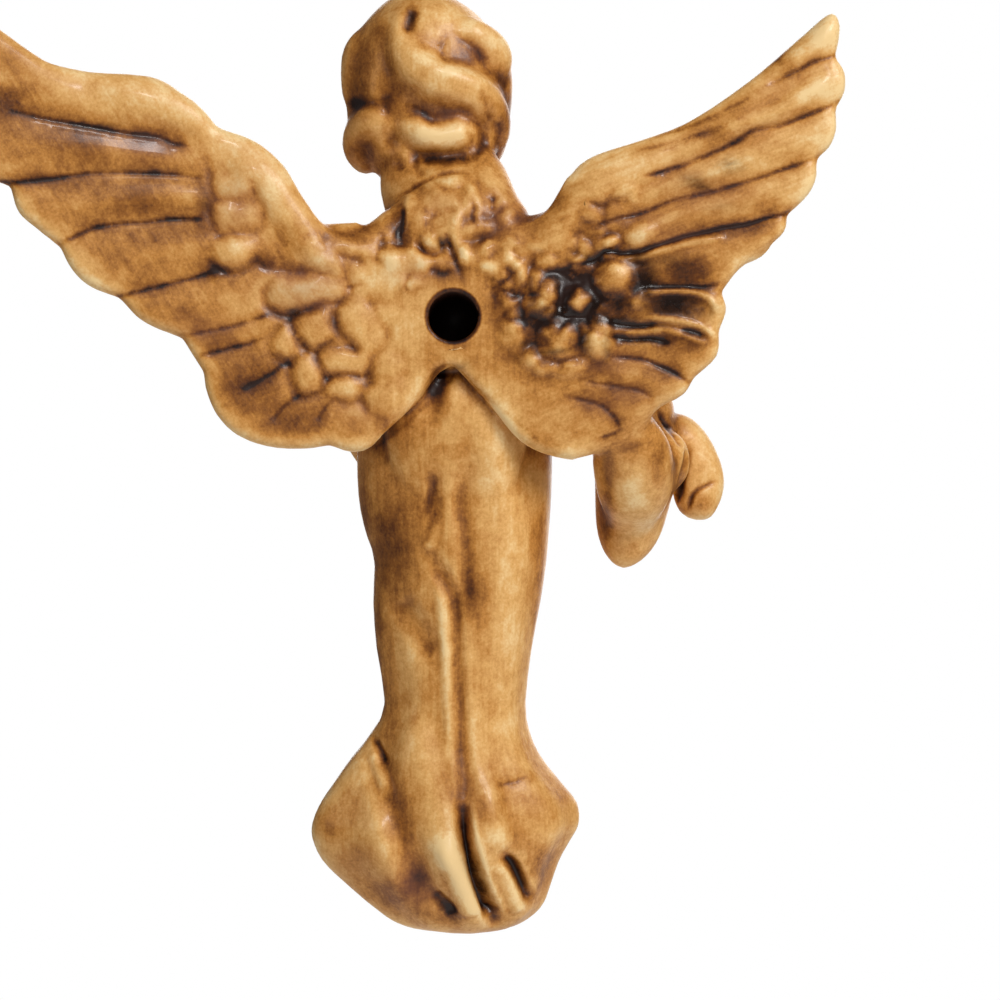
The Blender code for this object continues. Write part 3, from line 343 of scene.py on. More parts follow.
# Raised ridges beside the creases, as the width, the height below zero, and x and z.
RIDGES = [
    (1.5, -0.8, [(-42.2, 14.8), (-46.8, 14.5), (-51.8, 16.2), (-59.2, 18.2), (-66.8, 19.5)]),
    (1.2, -0.8, [(-46.8, 6), (-53, 6.2), (-59.2, 6), (-63.8, 4.5), (-65.8, 1.5)]),
    (1.2, -0.7, [(-48.8, -0.5), (-54.8, -1), (-61.8, -2.8), (-65.5, -5.2)]),
    (1.1, -0.5, [(-41.2, -3.8), (-46.8, -4), (-53, -3.5), (-59.2, -5.5), (-63, -6.8)]),
    (3, -0.7, [(-94.2, 72), (-90.5, 67.2), (-84.2, 63)]),
    (3, -0.7, [(-93.8, 58), (-88, 54.8), (-81.8, 51), (-74.2, 48.5), (-66.8, 46.5)]),
    (2, -0.5, [(-26.8, 33.2), (-34.2, 35.8), (-43, 39)]),
    (2.2, -0.4, [(7.2, 29.2), (3.8, 30.5), (0.5, 28.8), (-0.8, 25.5), (1, 22), (4.5, 20.5),
        (7.8, 21.8), (9, 25.2), (7.8, 28.5)]),
    (2, -0.5, [(-2.5, 27.8), (-1.2, 24), (-0.5, 20.2), (-1.8, 16.5), (-3.2, 13.2)]),
    (2, -0.5, [(-4.8, 33.5), (-3.8, 30.2), (-4.2, 27), (-6, 23.5), (-5.2, 20)]),
    (2, -0.4, [(10.8, 31.5), (12.2, 28), (11.2, 24), (9.8, 20.2), (10.2, 16.5), (8.2, 13.5)]),
    (1.8, -0.4, [(-6.2, 37.5), (-8.2, 34.5), (-11, 31.5), (-13.8, 28)]),
    (1.8, -0.3, [(-8.2, 38.5), (-10, 35), (-11.8, 32.5)]),
]

# Small feathers and curls that stand up from the back: x, z, half width, half height, turn in degrees
# and height.
LEFT_COVERTS = [
    (55, 32.2, 5.6, 3.92, -10, 0.62),
    (53.8, 24.8, 6.72, 4.76, 0, 0.81),
    (54.2, 16, 5.04, 5.04, 0, 1.36),
    (37.5, 6.2, 10.08, 4.76, 0, 1.12),
    (35, 14.8, 7.84, 4.2, 0, 0.56),
    (33.8, -3, 5.88, 5.04, 0, 0.74),
    (41.5, -6.2, 4.48, 5.04, 0, 0.68),
    (36, -14, 4.2, 5.6, 10, 0.74),
    (27, -11.5, 7, 3.64, 0, 0.62),
    (24, -1.5, 5.32, 6.16, -25, 0.68),
    (27, -18.2, 4.76, 2.8, 0, 0.68),
    (16.2, -19.8, 5.88, 4.76, 0, 0.56),
    (16.2, -12.5, 3.92, 3.08, 0, 0.37),
]
RIGHT_COVERTS = [
    (-30.5, 13.5, 2.19, 1.88, 0, 1.12),
    (-23.2, 12.8, 2.5, 2.5, 0, 1.12),
    (-16.8, 10.8, 2.19, 2.81, 0, 1.12),
    (-23, 6, 4.06, 5.62, 0, 1.8),
    (-31, 4.5, 3.44, 3.75, 0, 1.5),
    (-41, 9, 5.62, 5.94, 0, 1.8),
    (-26.5, -5.5, 4.69, 5.62, 0, 1.8),
    (-36.2, -6, 4.06, 4.69, 0, 1.65),
    (-15.8, -3.5, 4.06, 5, 0, 0.9),
    (-28.2, -12.8, 5, 3.12, 0, 1.05),
    (-19.2, -11, 2.81, 2.19, 0, 0.75),
    (-22, -13.8, 2.19, 1.88, 0, 0.6),
    (-46.8, 20, 3.75, 3.44, 0, 1.27),
    (-39.5, 18.8, 2.19, 1.88, 0, 0.83),
    (-43.5, 29.8, 2.5, 2.19, 0, 0.83),
    (-35.5, 25.5, 2.19, 1.88, 0, 0.68),
    (-11.8, 8.2, 2.81, 2.81, 0, 0.6),
    (-11, 3.2, 3.12, 2.81, 0, 0.6),
    (-46.8, 4, 2.5, 2.5, 0, 0.75),
    (-13, 13.5, 2.5, 2.5, 0, 0.6),
    (-20.5, 17.8, 2.5, 1.88, 0, 0.6),
    (-14, 18.2, 2.19, 1.88, 0, 0.45),
]
BACK_CURLS = [
    (5.2, 18.8, 2.59, 2.01, 0, 1.05),
    (10.2, 8, 2.88, 2.59, 0, 0.91),
    (1.2, 34, 4.02, 2.01, 0, 0.77),
    (5.8, 32.2, 2.3, 2.01, 0, 0.56),
    (-9.2, 12, 2.3, 2.3, 0, 0.84),
    (-9, 16.5, 1.44, 3.16, 0, 0.63),
    (-3, 16.5, 1.72, 2.59, -20, 0.7),
    (15.2, 13.5, 3.45, 2.3, 20, 0.56),
    (8.2, 12.8, 2.59, 1.72, 0, 0.56),
    (15.2, 19, 2.01, 2.3, 0, 0.56),
    (-5.5, 30, 1.72, 2.88, -20, 0.63),
    (-8.2, 22.8, 2.59, 2.3, 0, 0.56),
    (-13, 26, 2.3, 2.01, 0, 0.49),
    (10.8, 27.8, 2.01, 2.59, 0, 0.56),
    (-3.2, 22, 2.01, 2.59, 0, 0.7),
]

# Folds of the gown's back, as the width, the depth, and x, z and how dark the stain is.
GOWN_GROOVES = [
    (3.4, 1.3, [(5.9, -60.1, 0.1), (3.4, -64.2, 0.3), (1.4, -68.2, 0.35), (0.4, -72.5, 0.4),
        (-0.1, -81.3, 0.45), (-0.4, -88.9, 0.35), (-0.9, -96.5, 0.4), (-1.7, -104.1, 0.45),
        (-2.4, -110.4, 0.45), (-3.2, -116.7, 0.55), (-2.7, -121.8, 0.6), (-2.4, -126.3, 0.7)]),
    (3, 5, [(-2.2, -124.8, 0.7), (-2.9, -130.6, 1), (-4.7, -136.9, 1), (-6.7, -143.2, 1),
        (-9.2, -149.5, 1), (-10.2, -152.6, 0.8)]),
    (2.4, 2.4, [(-13, -136.4, 0.5), (-15, -138.9, 0.9), (-16.8, -142.5, 0.9), (-18.6, -146.2, 0.8),
        (-19.3, -148.5, 0.5)]),
    (1.8, 0.4, [(4.9, -41, 0.2), (5.7, -44, 0.4), (6.4, -47, 0.3), (7.4, -50, 0.1)]),
    (5, 1.2, [(13.8, -71.2, 0.1), (11, -75.8, 0.4), (8.2, -80.3, 0.4), (5.4, -86.4, 0.2)]),
    (6, 1.9, [(19.8, -107.9, 0.1), (17.3, -118, 0.2), (13.5, -129.3, 0.4), (10.5, -137.4, 0.5),
        (8.4, -146.5, 0.4)]),
    (2.6, 1.6, [(5.2, -145.2, 0.5), (2.9, -147.8, 0.9), (1.1, -149.8, 0.8), (0.4, -151.5, 0.4)]),
    (0.9, 0.3, [(-11.2, -118.5, 0.6), (-13.8, -118, 0.7), (-16.3, -117.5, 0.6), (-18.3, -116.4, 0.3)]),
    (1.6, 1, [(20.6, -107.1, 0.5), (19.1, -109.6, 0.7), (17.5, -112.7, 0.3)]),
    (4, 0.8, [(1.9, -11.2, 0.9), (3.9, -18.2, 0.6), (4.9, -23.8, 0.6), (5.4, -28.3, 0.2)]),
    (4, 0.9, [(-3.2, -38.4, 0.2), (-2.2, -46, 0.3), (-3.2, -53.6, 0.5), (-3.7, -63.7, 0.5),
        (-3.2, -73.8, 0.3)]),
    (3, 0.6, [(5.4, -38.4, 0.2), (4.4, -48.5, 0.3), (4.9, -58.1, 0.3)]),
]
GOWN_RIDGES = [
    (3.2, -1.1, [(2.6, -67.5), (1.6, -76.3), (0.9, -86.4), (0.4, -96.5), (-0.4, -106.6)]),
    (7, -1.3, [(-9.2, -25.8), (-11.8, -41), (-13.8, -56.1), (-13.3, -71.2), (-11.8, -91.5)]),
    (2.4, -1, [(20.6, -110.6), (18.8, -115.4), (17, -119.7)]),
    (4, -1.2, [(-8.5, -116.7), (-9.7, -124.3), (-11.2, -130.6), (-13, -134.4)]),
    (4, -1.6, [(3.4, -131.8), (-0.4, -139.4), (-3.2, -147), (-4.2, -151.5)]),
    (3, -1.4, [(-11.2, -136.9), (-13.8, -143.2), (-15.8, -148.3), (-16.8, -150.8)]),
    (2, -0.6, [(3.9, -51.6), (4.9, -55.3), (6.2, -58.6)]),
    (6, -1, [(11, -101.5), (7.2, -114.2), (3.4, -129.3), (0.9, -141.9)]),
]
SLEEVE_GROOVES = [
    (1.4, 0.9, [(-52.8, -22.9, 0.6), (-54.8, -26.3, 0.8), (-56.9, -29.3, 0.7), (-58.7, -32.2, 0.3)]),
    (1.8, 1.2, [(-60.5, -32.4, 0.6), (-60.2, -35.7, 0.8), (-59.2, -39.6, 0.8), (-58.2, -43.9, 0.9),
        (-56.6, -47.3, 0.8)]),
    (1, 0.8, [(-67.9, -41.1, 0.3), (-65.1, -42.4, 0.6), (-62.8, -43.7, 0.7), (-61.5, -45.7, 0.6),
        (-61, -48.1, 0.4)]),
]

# Hollows between the rolls of hair.
HAIR_GROOVES = [
    (2.6, 0.81, [(10, 78.9, 0.9), (10.5, 76.9, 1), (11.3, 74.9, 0.9), (11.8, 72.8, 0.6)]),
    (2.08, 0.45, [(1.1, 73.6, 0.4), (2.4, 70.8, 0.6), (3.2, 68.3, 0.7), (2.7, 66.3, 0.6),
        (1.4, 64.5, 0.3)]),
    (1.95, 0.45, [(0.4, 72.3, 0.4), (-2.1, 71.1, 0.5), (-4.4, 69.8, 0.7), (-6.2, 68.3, 0.9),
        (-7.5, 65.8, 0.9), (-8.7, 63.7, 0.7)]),
    (2.34, 0.45, [(-8.2, 64, 0.6), (-10.5, 62.5, 0.6), (-12.3, 61, 0.8), (-13.5, 59.7, 0.5)]),
    (2.86, 0.54, [(17.6, 56.9, 0.6), (17.1, 54.4, 0.9), (16.6, 52.1, 0.5)]),
    (2.6, 0.45, [(13.8, 54.9, 0.4), (10, 53.9, 0.9), (7.5, 52.4, 0.7), (6.2, 50.3, 0.9),
        (4.9, 48.8, 0.5)]),
    (2.08, 0.36, [(-0.4, 53.6, 0.4), (-2.4, 52.9, 0.8), (-4.2, 52.1, 0.4)]),
    (2.6, 0.45, [(-7.5, 57.2, 0.6), (-8.2, 54.4, 0.7), (-8.7, 51.9, 0.9), (-9.7, 50.3, 0.8)]),
    (2.08, 0.41, [(-4.2, 50.6, 0.3), (-6.7, 49.1, 0.6), (-7.5, 46.5, 0.6), (-7.2, 43.8, 0.7),
        (-5.2, 41.5, 0.7), (-2.4, 40, 0.5)]),
    (1.56, 0.27, [(-3.7, 47.3, 0.7), (-4.7, 46, 0.9), (-4.2, 44.5, 0.6)]),
    (3.38, 0.72, [(8.5, 40, 0.8), (5.9, 40.7, 1), (3.4, 40.7, 1), (0.9, 40.7, 0.9), (-2.1, 40.7, 0.8),
        (-4.2, 41.2, 0.5)]),
    (2.08, 0.45, [(9.2, 42, 0.4), (10, 39.5, 0.7), (9, 37.4, 0.8), (7.5, 36.4, 0.6)]),
    (2.86, 0.54, [(16.6, 46.8, 0.5), (15.6, 43.8, 0.7), (14.3, 40.7, 0.6), (12.5, 37.9, 0.5)]),
    (2.08, 0.41, [(-11.8, 50.6, 0.5), (-11.5, 47.6, 0.7), (-11, 44.5, 0.5)]),
    (2.6, 0.45, [(27.2, 55.9, 0.6), (24.2, 55.6, 0.7), (21.1, 55.1, 0.6), (18.1, 54.4, 0.5)]),
]
HAIR_RIDGES = [
    (4, -0.64, [(11, 69.8), (7.2, 65.8), (2.2, 63), (-4.2, 61), (-9.7, 58.2)]),
    (5, -0.72, [(10.5, 47.6), (5.9, 46.5), (0.9, 47.1), (-3.2, 48.1)]),
]

# Folds of the gown's front, as the width, the depth and x and z. A depth below zero raises a ridge.
GOWN_FOLDS = [
    (3.8, 2.4, [(3, -48), (2, -80), (0, -112), (-2, -157)]),
    (3.6, 2.2, [(-9, -60), (-7.5, -90), (-9.5, -120), (-15, -154)]),
    (3.6, 2.2, [(12.5, -66), (10, -94), (11.5, -123), (18, -152)]),
    (3.2, 1.8, [(-16, -84), (-14, -102), (-19, -123), (-26, -142)]),
    (3.2, 1.8, [(18, -88), (14.5, -104), (20, -125), (29, -140)]),
    (4.4, -1.6, [(-3.5, -60), (-3, -90), (-5, -122), (-8, -154)]),
    (4.4, -1.6, [(7, -58), (6, -90), (6, -122), (8, -154)]),
    (2.8, 1.4, [(-17, 14), (-12, -6), (-5, -22)]),
    (2.8, 1.2, [(-9, 17), (-6, -2), (-2, -18)]),
    (3.0, 1.5, [(-23, -26), (-8, -33), (8, -34), (23, -28)]),
    (2.2, 1.0, [(-24, -30), (-8, -37.5), (8, -38.5), (23, -32)]),
    (2.6, 1.2, [(-13, 27), (-4, 20), (4, 18.5), (12, 20), (20, 26)]),
    (3.4, 1.8, [(-22, 15), (-29, 0), (-36, -15)]),
    (3.0, 1.5, [(-34, 11), (-41, -3), (-47, -17)]),
    (3.0, 1.5, [(-16, 8), (-25, -8), (-32, -22)]),
    (2.6, 1.5, [(-38, -22), (-45, -27), (-51, -26)]),
    (2.6, 1.6, [(-41, -30), (-42, -46), (-41.5, -62)]),
    (2.4, 1.4, [(-48.5, -32), (-50, -44), (-48, -56)]),
    (3.2, 1.7, [(21, 14), (27, 1), (27, -13)]),
    (3.0, 1.5, [(31, 12), (37.5, -2), (38, -15)]),
    (2.4, 1.4, [(24, -4), (32, -10), (40, -10)]),
    (2.4, 1.5, [(28, -19), (24, -30), (19.5, -42)]),
    (2.2, 1.3, [(21, -19), (18.5, -29), (16.5, -38)]),
    (1.3, 1.3, [(-61, -38), (-61.4, -44), (-60, -51)]),
    (1.3, 1.3, [(-64.4, -37), (-65, -43), (-63, -50.5)]),
    (1.2, 1.2, [(-67.4, -37), (-68, -42), (-66, -48)]),
    (1.2, 1.1, [(6.8, 5), (1.6, 8.4), (-4, 11)]),
    (1.2, 1.1, [(6, 2.6), (0.8, 6.2), (-5, 9)]),
    (1.2, 1.1, [(5, 0.2), (0, 3.8), (-5.4, 6.8)]),
]

# Rolled locks of hair round the head, as x, y, z and radius, measured from the head's centre.
LOCKS = [
    [(6, 12.5, 17.4, 3.6), (7, 14.4, 9.5, 4.2), (4.6, 15.6, 2, 5.2), (-2, 15.8, -2.6, 5.8),
     (-8.5, 14.6, -4.6, 5.8), (-14.4, 11, -8, 5.6), (-17, 6, -14, 5.2), (-16, 3, -21.5, 4.4)],
    [(-5.6, 12, 11.4, 4.0), (-11.6, 10.6, 9.4, 4.8), (-16.4, 6.5, 5, 5.4), (-15.8, 6, -2.4, 4.2)],
    [(16, 4, 13, 5), (17.2, 5, 4, 5.6), (17.6, 3, -3, 5.2), (17.2, 1, -9.4, 4.4)],
    [(8.6, 14, -10.6, 4.2), (14, 9.8, -12.4, 5.2), (17, 5, -16.4, 5.6), (16, 3, -25, 5)],
    [(9, 12, -12.6, 3.8), (3.5, 13.4, -14.6, 4.6), (-3, 13.4, -17.4, 4.4), (-8, 12.4, -16, 5),
     (-13.4, 9.5, -19.4, 4)],
    [(10, 10.6, -17, 3.4), (6, 11.6, -21.8, 4.0), (1.6, 11.4, -27, 3)],
    [(-12.4, 11.5, -12.6, 2.6), (-15, 8.5, -17.5, 3.2), (-11.2, 10, -21.4, 2.6)],
    [(-1, -11.6, 17, 3.6), (-7.6, -11, 13.6, 4.2), (-14, -7.4, 7, 4.8), (-16.4, -4.6, -1, 4.8),
     (-16, -2.6, -9.6, 4.8)],
    [(-1, -11.6, 17, 3.6), (7.2, -11.2, 14.6, 4.2), (14.2, -7.6, 8, 4.8), (16.6, -4.6, 0, 4.8),
     (16.4, -2.6, -9, 4.8)],
    [(-16.6, -1, -7, 4.6), (-15.6, 1, -15, 5.0), (-12.6, 3.4, -24, 4.4)],
    [(1, -6, 17.6, 4.6), (-5.6, -4, 15, 4.6), (-12, -2, 9.6, 5.0)],
]

# Fuller hair beneath the rolls, in the same form.
HAIR_BENEATH = [
    [(9, 7, 8, 8.5), (10, 7.5, -2, 8.5), (10, 7.5, -12, 7.5), (9.5, 6, -20, 6.5), (8, 4, -28, 5.5)],
    [(-6, 8, 6, 8.5), (-8, 8, -4, 8.5), (-7, 8, -14, 7.5), (-4, 7, -22, 6)],
    [(15.4, 3, 0, 5.4), (15.8, 3, -9, 5.6), (15, 3, -18, 5.4)],
    [(-14.4, 3.4, 8, 6.4), (-15, 1.6, -1, 6.8), (-14.4, 1, -12, 6.2), (-12, -1, -20, 4.8)],
]

# Clay that joins the gown's back and the right sleeve to the wings: x, y, z, half width and half depth.
JOINS = [
    [(-1, -12, -10, 12, 9.2), (-1, -12, -20, 18, 8.8), (-0.5, -12, -32, 18, 7.4), (0, -12, -46, 14, 5.4),
     (0, -12, -62, 9, 3.6)],
    [(-42, -7, -20, 9, 5), (-44, -8, -29, 10.4, 6.8), (-45.5, -11, -36, 11, 8), (-46, -16, -43, 10.4, 8),
     (-45.6, -22, -49, 9, 7), (-44.6, -28, -54, 6, 5)],
    [(-52, -21, -28, 7, 7), (-55, -23.5, -36, 6.4, 7), (-57, -26, -44, 5, 5)],
    [(0, -20, 47, 8, 7), (-5, -16, 38, 8, 7), (-10, -10, 28, 7, 6.5), (-16, -6, 20.5, 5.5, 5), (-26, -4, 18, 5, 3.6)],
    [(12, -10, 28, 6, 6.5), (18, -7, 20, 5.2, 5.6), (26, -5, 16.5, 5, 4.8), (36, -4, 14, 5, 3.6)],
]

# Rolled cuffs, as the middle, the way the sleeve points, the radius and the thickness.
CUFFS = [
    ((-53.8, -35, -29.6), (-0.8, -0.15, -0.58), 5.2, 1.9),
    ((18.6, -45.6, -7.2), (-0.8, -0.3, 0.5), 6, 2.2),
]# The face, measured from the head's centre before it nods: x, y, z, half width and half depth down a
# short spine. Pairs are mirrored.
FACE_MIDDLE = {
    "hair cap": [(4, 3, 23.6, 12, 12), (2.6, 3, 13, 17.6, 15.6), (0.8, 3, 0, 20.6, 15),
                 (0.4, 3, -12, 19.2, 13), (0.6, 2, -24, 16, 11)],
    "face": [(0, -4, 16, 9, 9), (0, -5.4, 8, 13.6, 12), (0, -5.8, -2, 14, 12.2), (0, -6.6, -11, 12, 10.4),
             (0, -8.6, -23, 7, 7.4)],
    "chin": [(0, -9.8, -12, 7, 5), (0, -10.4, -17.4, 6.4, 5.2), (0, -9, -22.6, 5, 4.4)],
    "nose": [(0, -16, 5, 1.6, 2.2), (0, -17.8, -0.6, 1.8, 2.4), (0, -19.4, -5.4, 2.5, 2.6),
             (0, -18.2, -8.8, 2.2, 2.0)],
    "lips": [(-5.4, -13.6, -12.8, 1.5, 1.6), (0, -15.8, -13, 2.2, 2.0), (5.4, -13.6, -12.8, 1.5, 1.6)],
}
FACE_PAIRS = {
    "cheek": [(7.0, -9.8, 1, 6.0, 5.6), (7.0, -10.2, -5, 6.2, 5.6), (5.4, -10.2, -14, 5, 5)],
    "brow": [(2.2, -15.6, 5.4, 1.5, 1.5), (6.6, -15, 6.8, 1.8, 1.8), (11.6, -10.8, 5, 1.6, 1.6)],
    "jaw": [(8.2, -7, -6, 5.4, 6), (6.4, -7.6, -12.6, 5.2, 5.4), (3.6, -8.8, -18, 4.4, 4.4)],
    "nostril": [(1.8, -17.4, -5.6, 1.5, 1.8), (2.6, -16.4, -8.2, 1.6, 1.8)],
}

# Carving of the face, as the width, depth and then x and z from the head's centre. Pairs are mirrored.
FACE_CARVING = [
    (3.2, 1.1, [(2.8, 2.6), (6.0, 3.0), (10, 1.8)]),
    (2.6, -1.2, [(3.0, 0.9), (6.0, 1.1), (9.4, 0.6)]),
    (0.9, 0.6, [(2.8, -0.8), (6.0, -1.8), (9.8, -0.6)]),
    (0.9, 0.7, [(-0.2, -14.9), (2.0, -14.5), (4.6, -14.7)]),
    (1.8, 0.6, [(-0.2, -18.4), (1.6, -18.2), (3.2, -17.6)]),
]

BODY = {
    "neck": [(6.4, -26, 66, 9, 9), (5.8, -24.6, 50, 10, 10), (4.4, -24, 38, 10.4, 10.6),
             (2, -23.6, 27, 14, 12), (0, -24, 8, 18, 12)],
    "nape": [(5, -21, 48, 12, 7), (5, -19, 40, 14.4, 7.4), (4.4, -16.6, 35.4, 15, 8), (2, -13, 30, 16.4, 8.6),
             (1, -10, 25, 19.6, 8.6), (0, -7.4, 18, 21, 7.4), (0, -5, 8, 18, 5)],
    "chest": [(0, -29, 20, 17, 9), (0, -32, 8, 21, 11), (0, -31.6, -6, 20, 11.6), (0, -29, -22, 18, 12)],
}

RIGHT_ARM = {
    "sleeve": [(-10, -23, 20, 6, 7), (-22, -25, 16, 10, 10), (-31, -28, 7, 12, 12), (-37, -31, -6, 12.6, 12.4),
               (-43, -32, -19, 12.4, 11.6), (-50, -33, -27, 10, 10), (-55, -34, -31, 8, 8.4)],
    "hanging sleeve": [(-42, -31, -14, 10, 8), (-45.6, -30.4, -26, 11.2, 9), (-46.8, -30, -38, 10.8, 9),
                       (-45.8, -29.5, -50, 9.8, 7.6), (-43.2, -28.6, -64.4, 6.8, 5)],
    "hand": [(-52, -34.6, -25, 5.6, 5.6), (-59.6, -35.4, -31.4, 6.8, 5.6), (-63.8, -35.4, -40, 6.8, 5.4),
             (-63, -34.6, -46, 6.2, 5), (-60.8, -33.6, -50.4, 4.6, 4.2)],
    "thumb": [(-59.6, -39, -31, 2.6, 2.4), (-59, -41, -37, 2.5, 2.3), (-59.2, -41, -44.6, 2.1, 2.1)],
}
LEFT_ARM = {
    "sleeve": [(10, -23, 20, 6, 7), (22, -25, 13.4, 9, 10), (31, -30, 5, 12, 12), (34.6, -36, -8, 12, 12),
               (31, -41, -15.6, 11, 11), (24, -45, -12, 9.4, 9.4), (17, -47, -6, 7.6, 7.6)],
    "hanging sleeve": [(30, -40, -13, 9, 9), (24, -43, -22, 9.4, 8), (19.6, -43, -32, 8, 6.6),
                       (16.6, -41.6, -43, 4.6, 4.4)],
    "hand": [(19, -47, -7, 5, 4.6), (13, -48, -2, 5.4, 4.2), (6.4, -46.6, 3, 5.6, 3.6),
             (-1.6, -44.4, 8.2, 4.8, 3)],
    "thumb": [(13.6, -48, 0, 2.4, 2.6), (10, -47.6, 6, 2.2, 2.4), (8, -46, 10.6, 2, 2.2)],
}


def spline(stations, shares):
    """The stations' values at shares from 0 to 1 of the way along, on a smooth curve through them all."""
    rows = np.asarray(stations, float)
    last = len(rows) - 1
    place = np.clip(np.asarray(shares, float), 0, 1) * last
    index = np.minimum(place.astype(int), last - 1)
    step = (place - index)[:, None]
    here, after = rows[index], rows[index + 1]
    before = np.where((index > 0)[:, None], rows[np.maximum(index - 1, 0)], 2 * here - after)
    beyond = np.where((index + 2 <= last)[:, None], rows[np.minimum(index + 2, last)], 2 * after - here)
    return 0.5 * (
        2 * here
        + (after - before) * step
        + (2 * before - 5 * here + 4 * after - beyond) * step**2
        + (3 * here - before - 3 * after + beyond) * step**3
    )


def unit(rows):
    return rows / np.maximum(np.linalg.norm(rows, axis=1, keepdims=True), 1e-9)


def rounded_ends(shares, caps):
    """1 along the middle of a mass, falling to 0 in a quarter circle over the cap at each end."""
    first = np.clip(1 - shares / caps[0], 0, 1)
    final = np.clip(1 - (1 - shares) / caps[1], 0, 1)
    return np.sqrt(np.clip(1 - np.maximum(first, final) ** 2, 0, 1))


def lay(clay, spine, caps=(0.3, 0.3), around=20, along=22, place=None, level=False, flutes=None):
    """Lays one rounded mass on the clay: a sphere drawn out along a spine, as wide and deep as it says."""
    sphere = bmesh.ops.create_uvsphere(clay, u_segments=around, v_segments=along, radius=1)["verts"]
    ball = np.array([vertex.co for vertex in sphere])
    shares = (1 + ball[:, 2]) / 2
    rows = spline(spine, shares)
    heading = unit(spline(spine, shares + 0.01)[:, :3] - spline(spine, shares - 0.01)[:, :3])
    if level:
        heading[:] = (0, 0, -1)
    deep = unit(np.array((0, 1, 0)) - heading[:, 1:2] * heading)
    wide = np.cross(deep, heading)
    angles = np.arctan2(ball[:, 1], ball[:, 0])
    reach = rounded_ends(shares, caps)
    if flutes:
        reach = reach * flutes(angles, rows[:, 2])
    points = (
        rows[:, :3]
        + wide * (rows[:, 3] * np.cos(angles) * reach)[:, None]
        + deep * (rows[:, 4] * np.sin(angles) * reach)[:, None]
    )
    for vertex, point in zip(sphere, points):
        vertex.co = point if place is None else place @ Vector(point)


def gown_flutes(angles, heights):
    """Soft folds that grow towards the hem."""
    share = np.clip((-50 - heights) / 100, 0, 1)
    return 1 + share * (0.035 * np.cos(9 * angles + 0.6) + 0.025 * np.cos(5 * angles - 0.8))


def lay_body(clay):
    lay(clay, GOWN, caps=(0.04, 0.03), around=96, along=80, level=True, flutes=gown_flutes)
    for spine in BODY.values():
        lay(clay, spine)


def lay_arms(clay):
    for arm in (RIGHT_ARM, LEFT_ARM):
        for spine in arm.values():
            lay(clay, spine, caps=(0.2, 0.18), along=36)


def lay_head(clay):
    centre = Matrix.Translation(HEAD_CENTRE)
    nod = centre @ Matrix.Rotation(math.radians(HEAD_NOD_DEGREES), 4, "X")
    for spine in FACE_MIDDLE.values():
        lay(clay, spine, caps=(0.4, 0.4), place=nod)
    for spine in FACE_PAIRS.values():
        for side in (-1, 1):
            mirrored = [(side * x, y, z, half_width, half_depth) for x, y, z, half_width, half_depth in spine]
            lay(clay, mirrored, caps=(0.4, 0.4), place=nod)
    for lock in LOCKS + HAIR_BENEATH:
        lay(clay, [(x, y, z, radius, radius) for x, y, z, radius in lock], place=centre)


def wing_depth(x, sweep):
    """The depth of a wing's middle surface, which sweeps back towards the tip."""
    return WING_ROOT_DEPTH + sweep * (abs(x) / WING_REACH) ** SWEEP_POWER


def lay_wing_plate(clay, runs, sweep):
    """A rounded plate cut to the wing's edge and swept back."""
    outline = []
    for run in runs:
        outline.extend(spline(run, np.linspace(0, 1, 5 * (len(run) - 1) + 1))[:-1])
    curve = bpy.data.curves.new("wing edge", "CURVE")
    curve.dimensions = "2D"
    curve.fill_mode = "BOTH"
    curve.bevel_depth = WING_HALF_THICKNESS * WING_EDGE_ROUNDING
    curve.extrude = WING_HALF_THICKNESS * (1 - WING_EDGE_ROUNDING)
    curve.offset = -WING_HALF_THICKNESS * WING_EDGE_ROUNDING
    curve.bevel_resolution = 3
    edge = curve.splines.new("POLY")
    edge.points.add(len(outline) - 1)
    for point, (x, z) in zip(edge.points, outline):
        point.co = (x, z, 0, 1)
    edge.use_cyclic_u = True
    drawn = bpy.data.objects.new("wing edge", curve)
    flat = evaluated_mesh(drawn)
    bpy.data.objects.remove(drawn)
    bpy.data.curves.remove(curve)
    plate = bmesh.new()
    plate.from_mesh(flat)
    for x in range(-WING_SPAN, WING_SPAN, WING_CUT_STEP):
        everything = plate.verts[:] + plate.edges[:] + plate.faces[:]
        bmesh.ops.bisect_plane(plate, geom=everything, plane_co=(x, 0, 0), plane_no=(1, 0, 0))
    for vertex in plate.verts:
        x, z, y = vertex.co
        vertex.co = (x, y + wing_depth(x, sweep), z)
    bmesh.ops.reverse_faces(plate, faces=plate.faces[:])
    plate.to_mesh(flat)
    plate.free()
    clay.from_mesh(flat)


def lay_feathers(clay, feathers, sweep):
    """Overlapping blades. Each lies a little deeper than the one above it."""
    for number, row in enumerate(feathers):
        root_x, root_z, middle_x, middle_z, tip_x, tip_z, root_half, middle_half, tip_half = row
        drop = FEATHER_STEP * number
        spine = [
            (root_x, wing_depth(root_x, sweep) - drop, root_z, root_half, FEATHER_HALF_DEPTH),
            (middle_x, wing_depth(middle_x, sweep) - drop, middle_z, middle_half, FEATHER_HALF_DEPTH),
            (tip_x, wing_depth(tip_x, sweep) - drop, tip_z, tip_half, FEATHER_HALF_DEPTH * 0.9),
        ]
        lay(clay, spine, caps=(0.25, 0.14))


def lay_wings(clay):
    for spine in (RIGHT_WING_ROOT, LEFT_WING_ROOT, RIGHT_WING_ARM, LEFT_WING_ARM, LEFT_WING_CREST):
        lay(clay, spine)
    lay_wing_plate(clay, RIGHT_WING_EDGE, RIGHT_WING_SWEEP)
    lay_wing_plate(clay, LEFT_WING_EDGE, LEFT_WING_SWEEP)
    lay_feathers(clay, RIGHT_FEATHERS, RIGHT_WING_SWEEP)
    lay_feathers(clay, LEFT_FEATHERS, LEFT_WING_SWEEP)


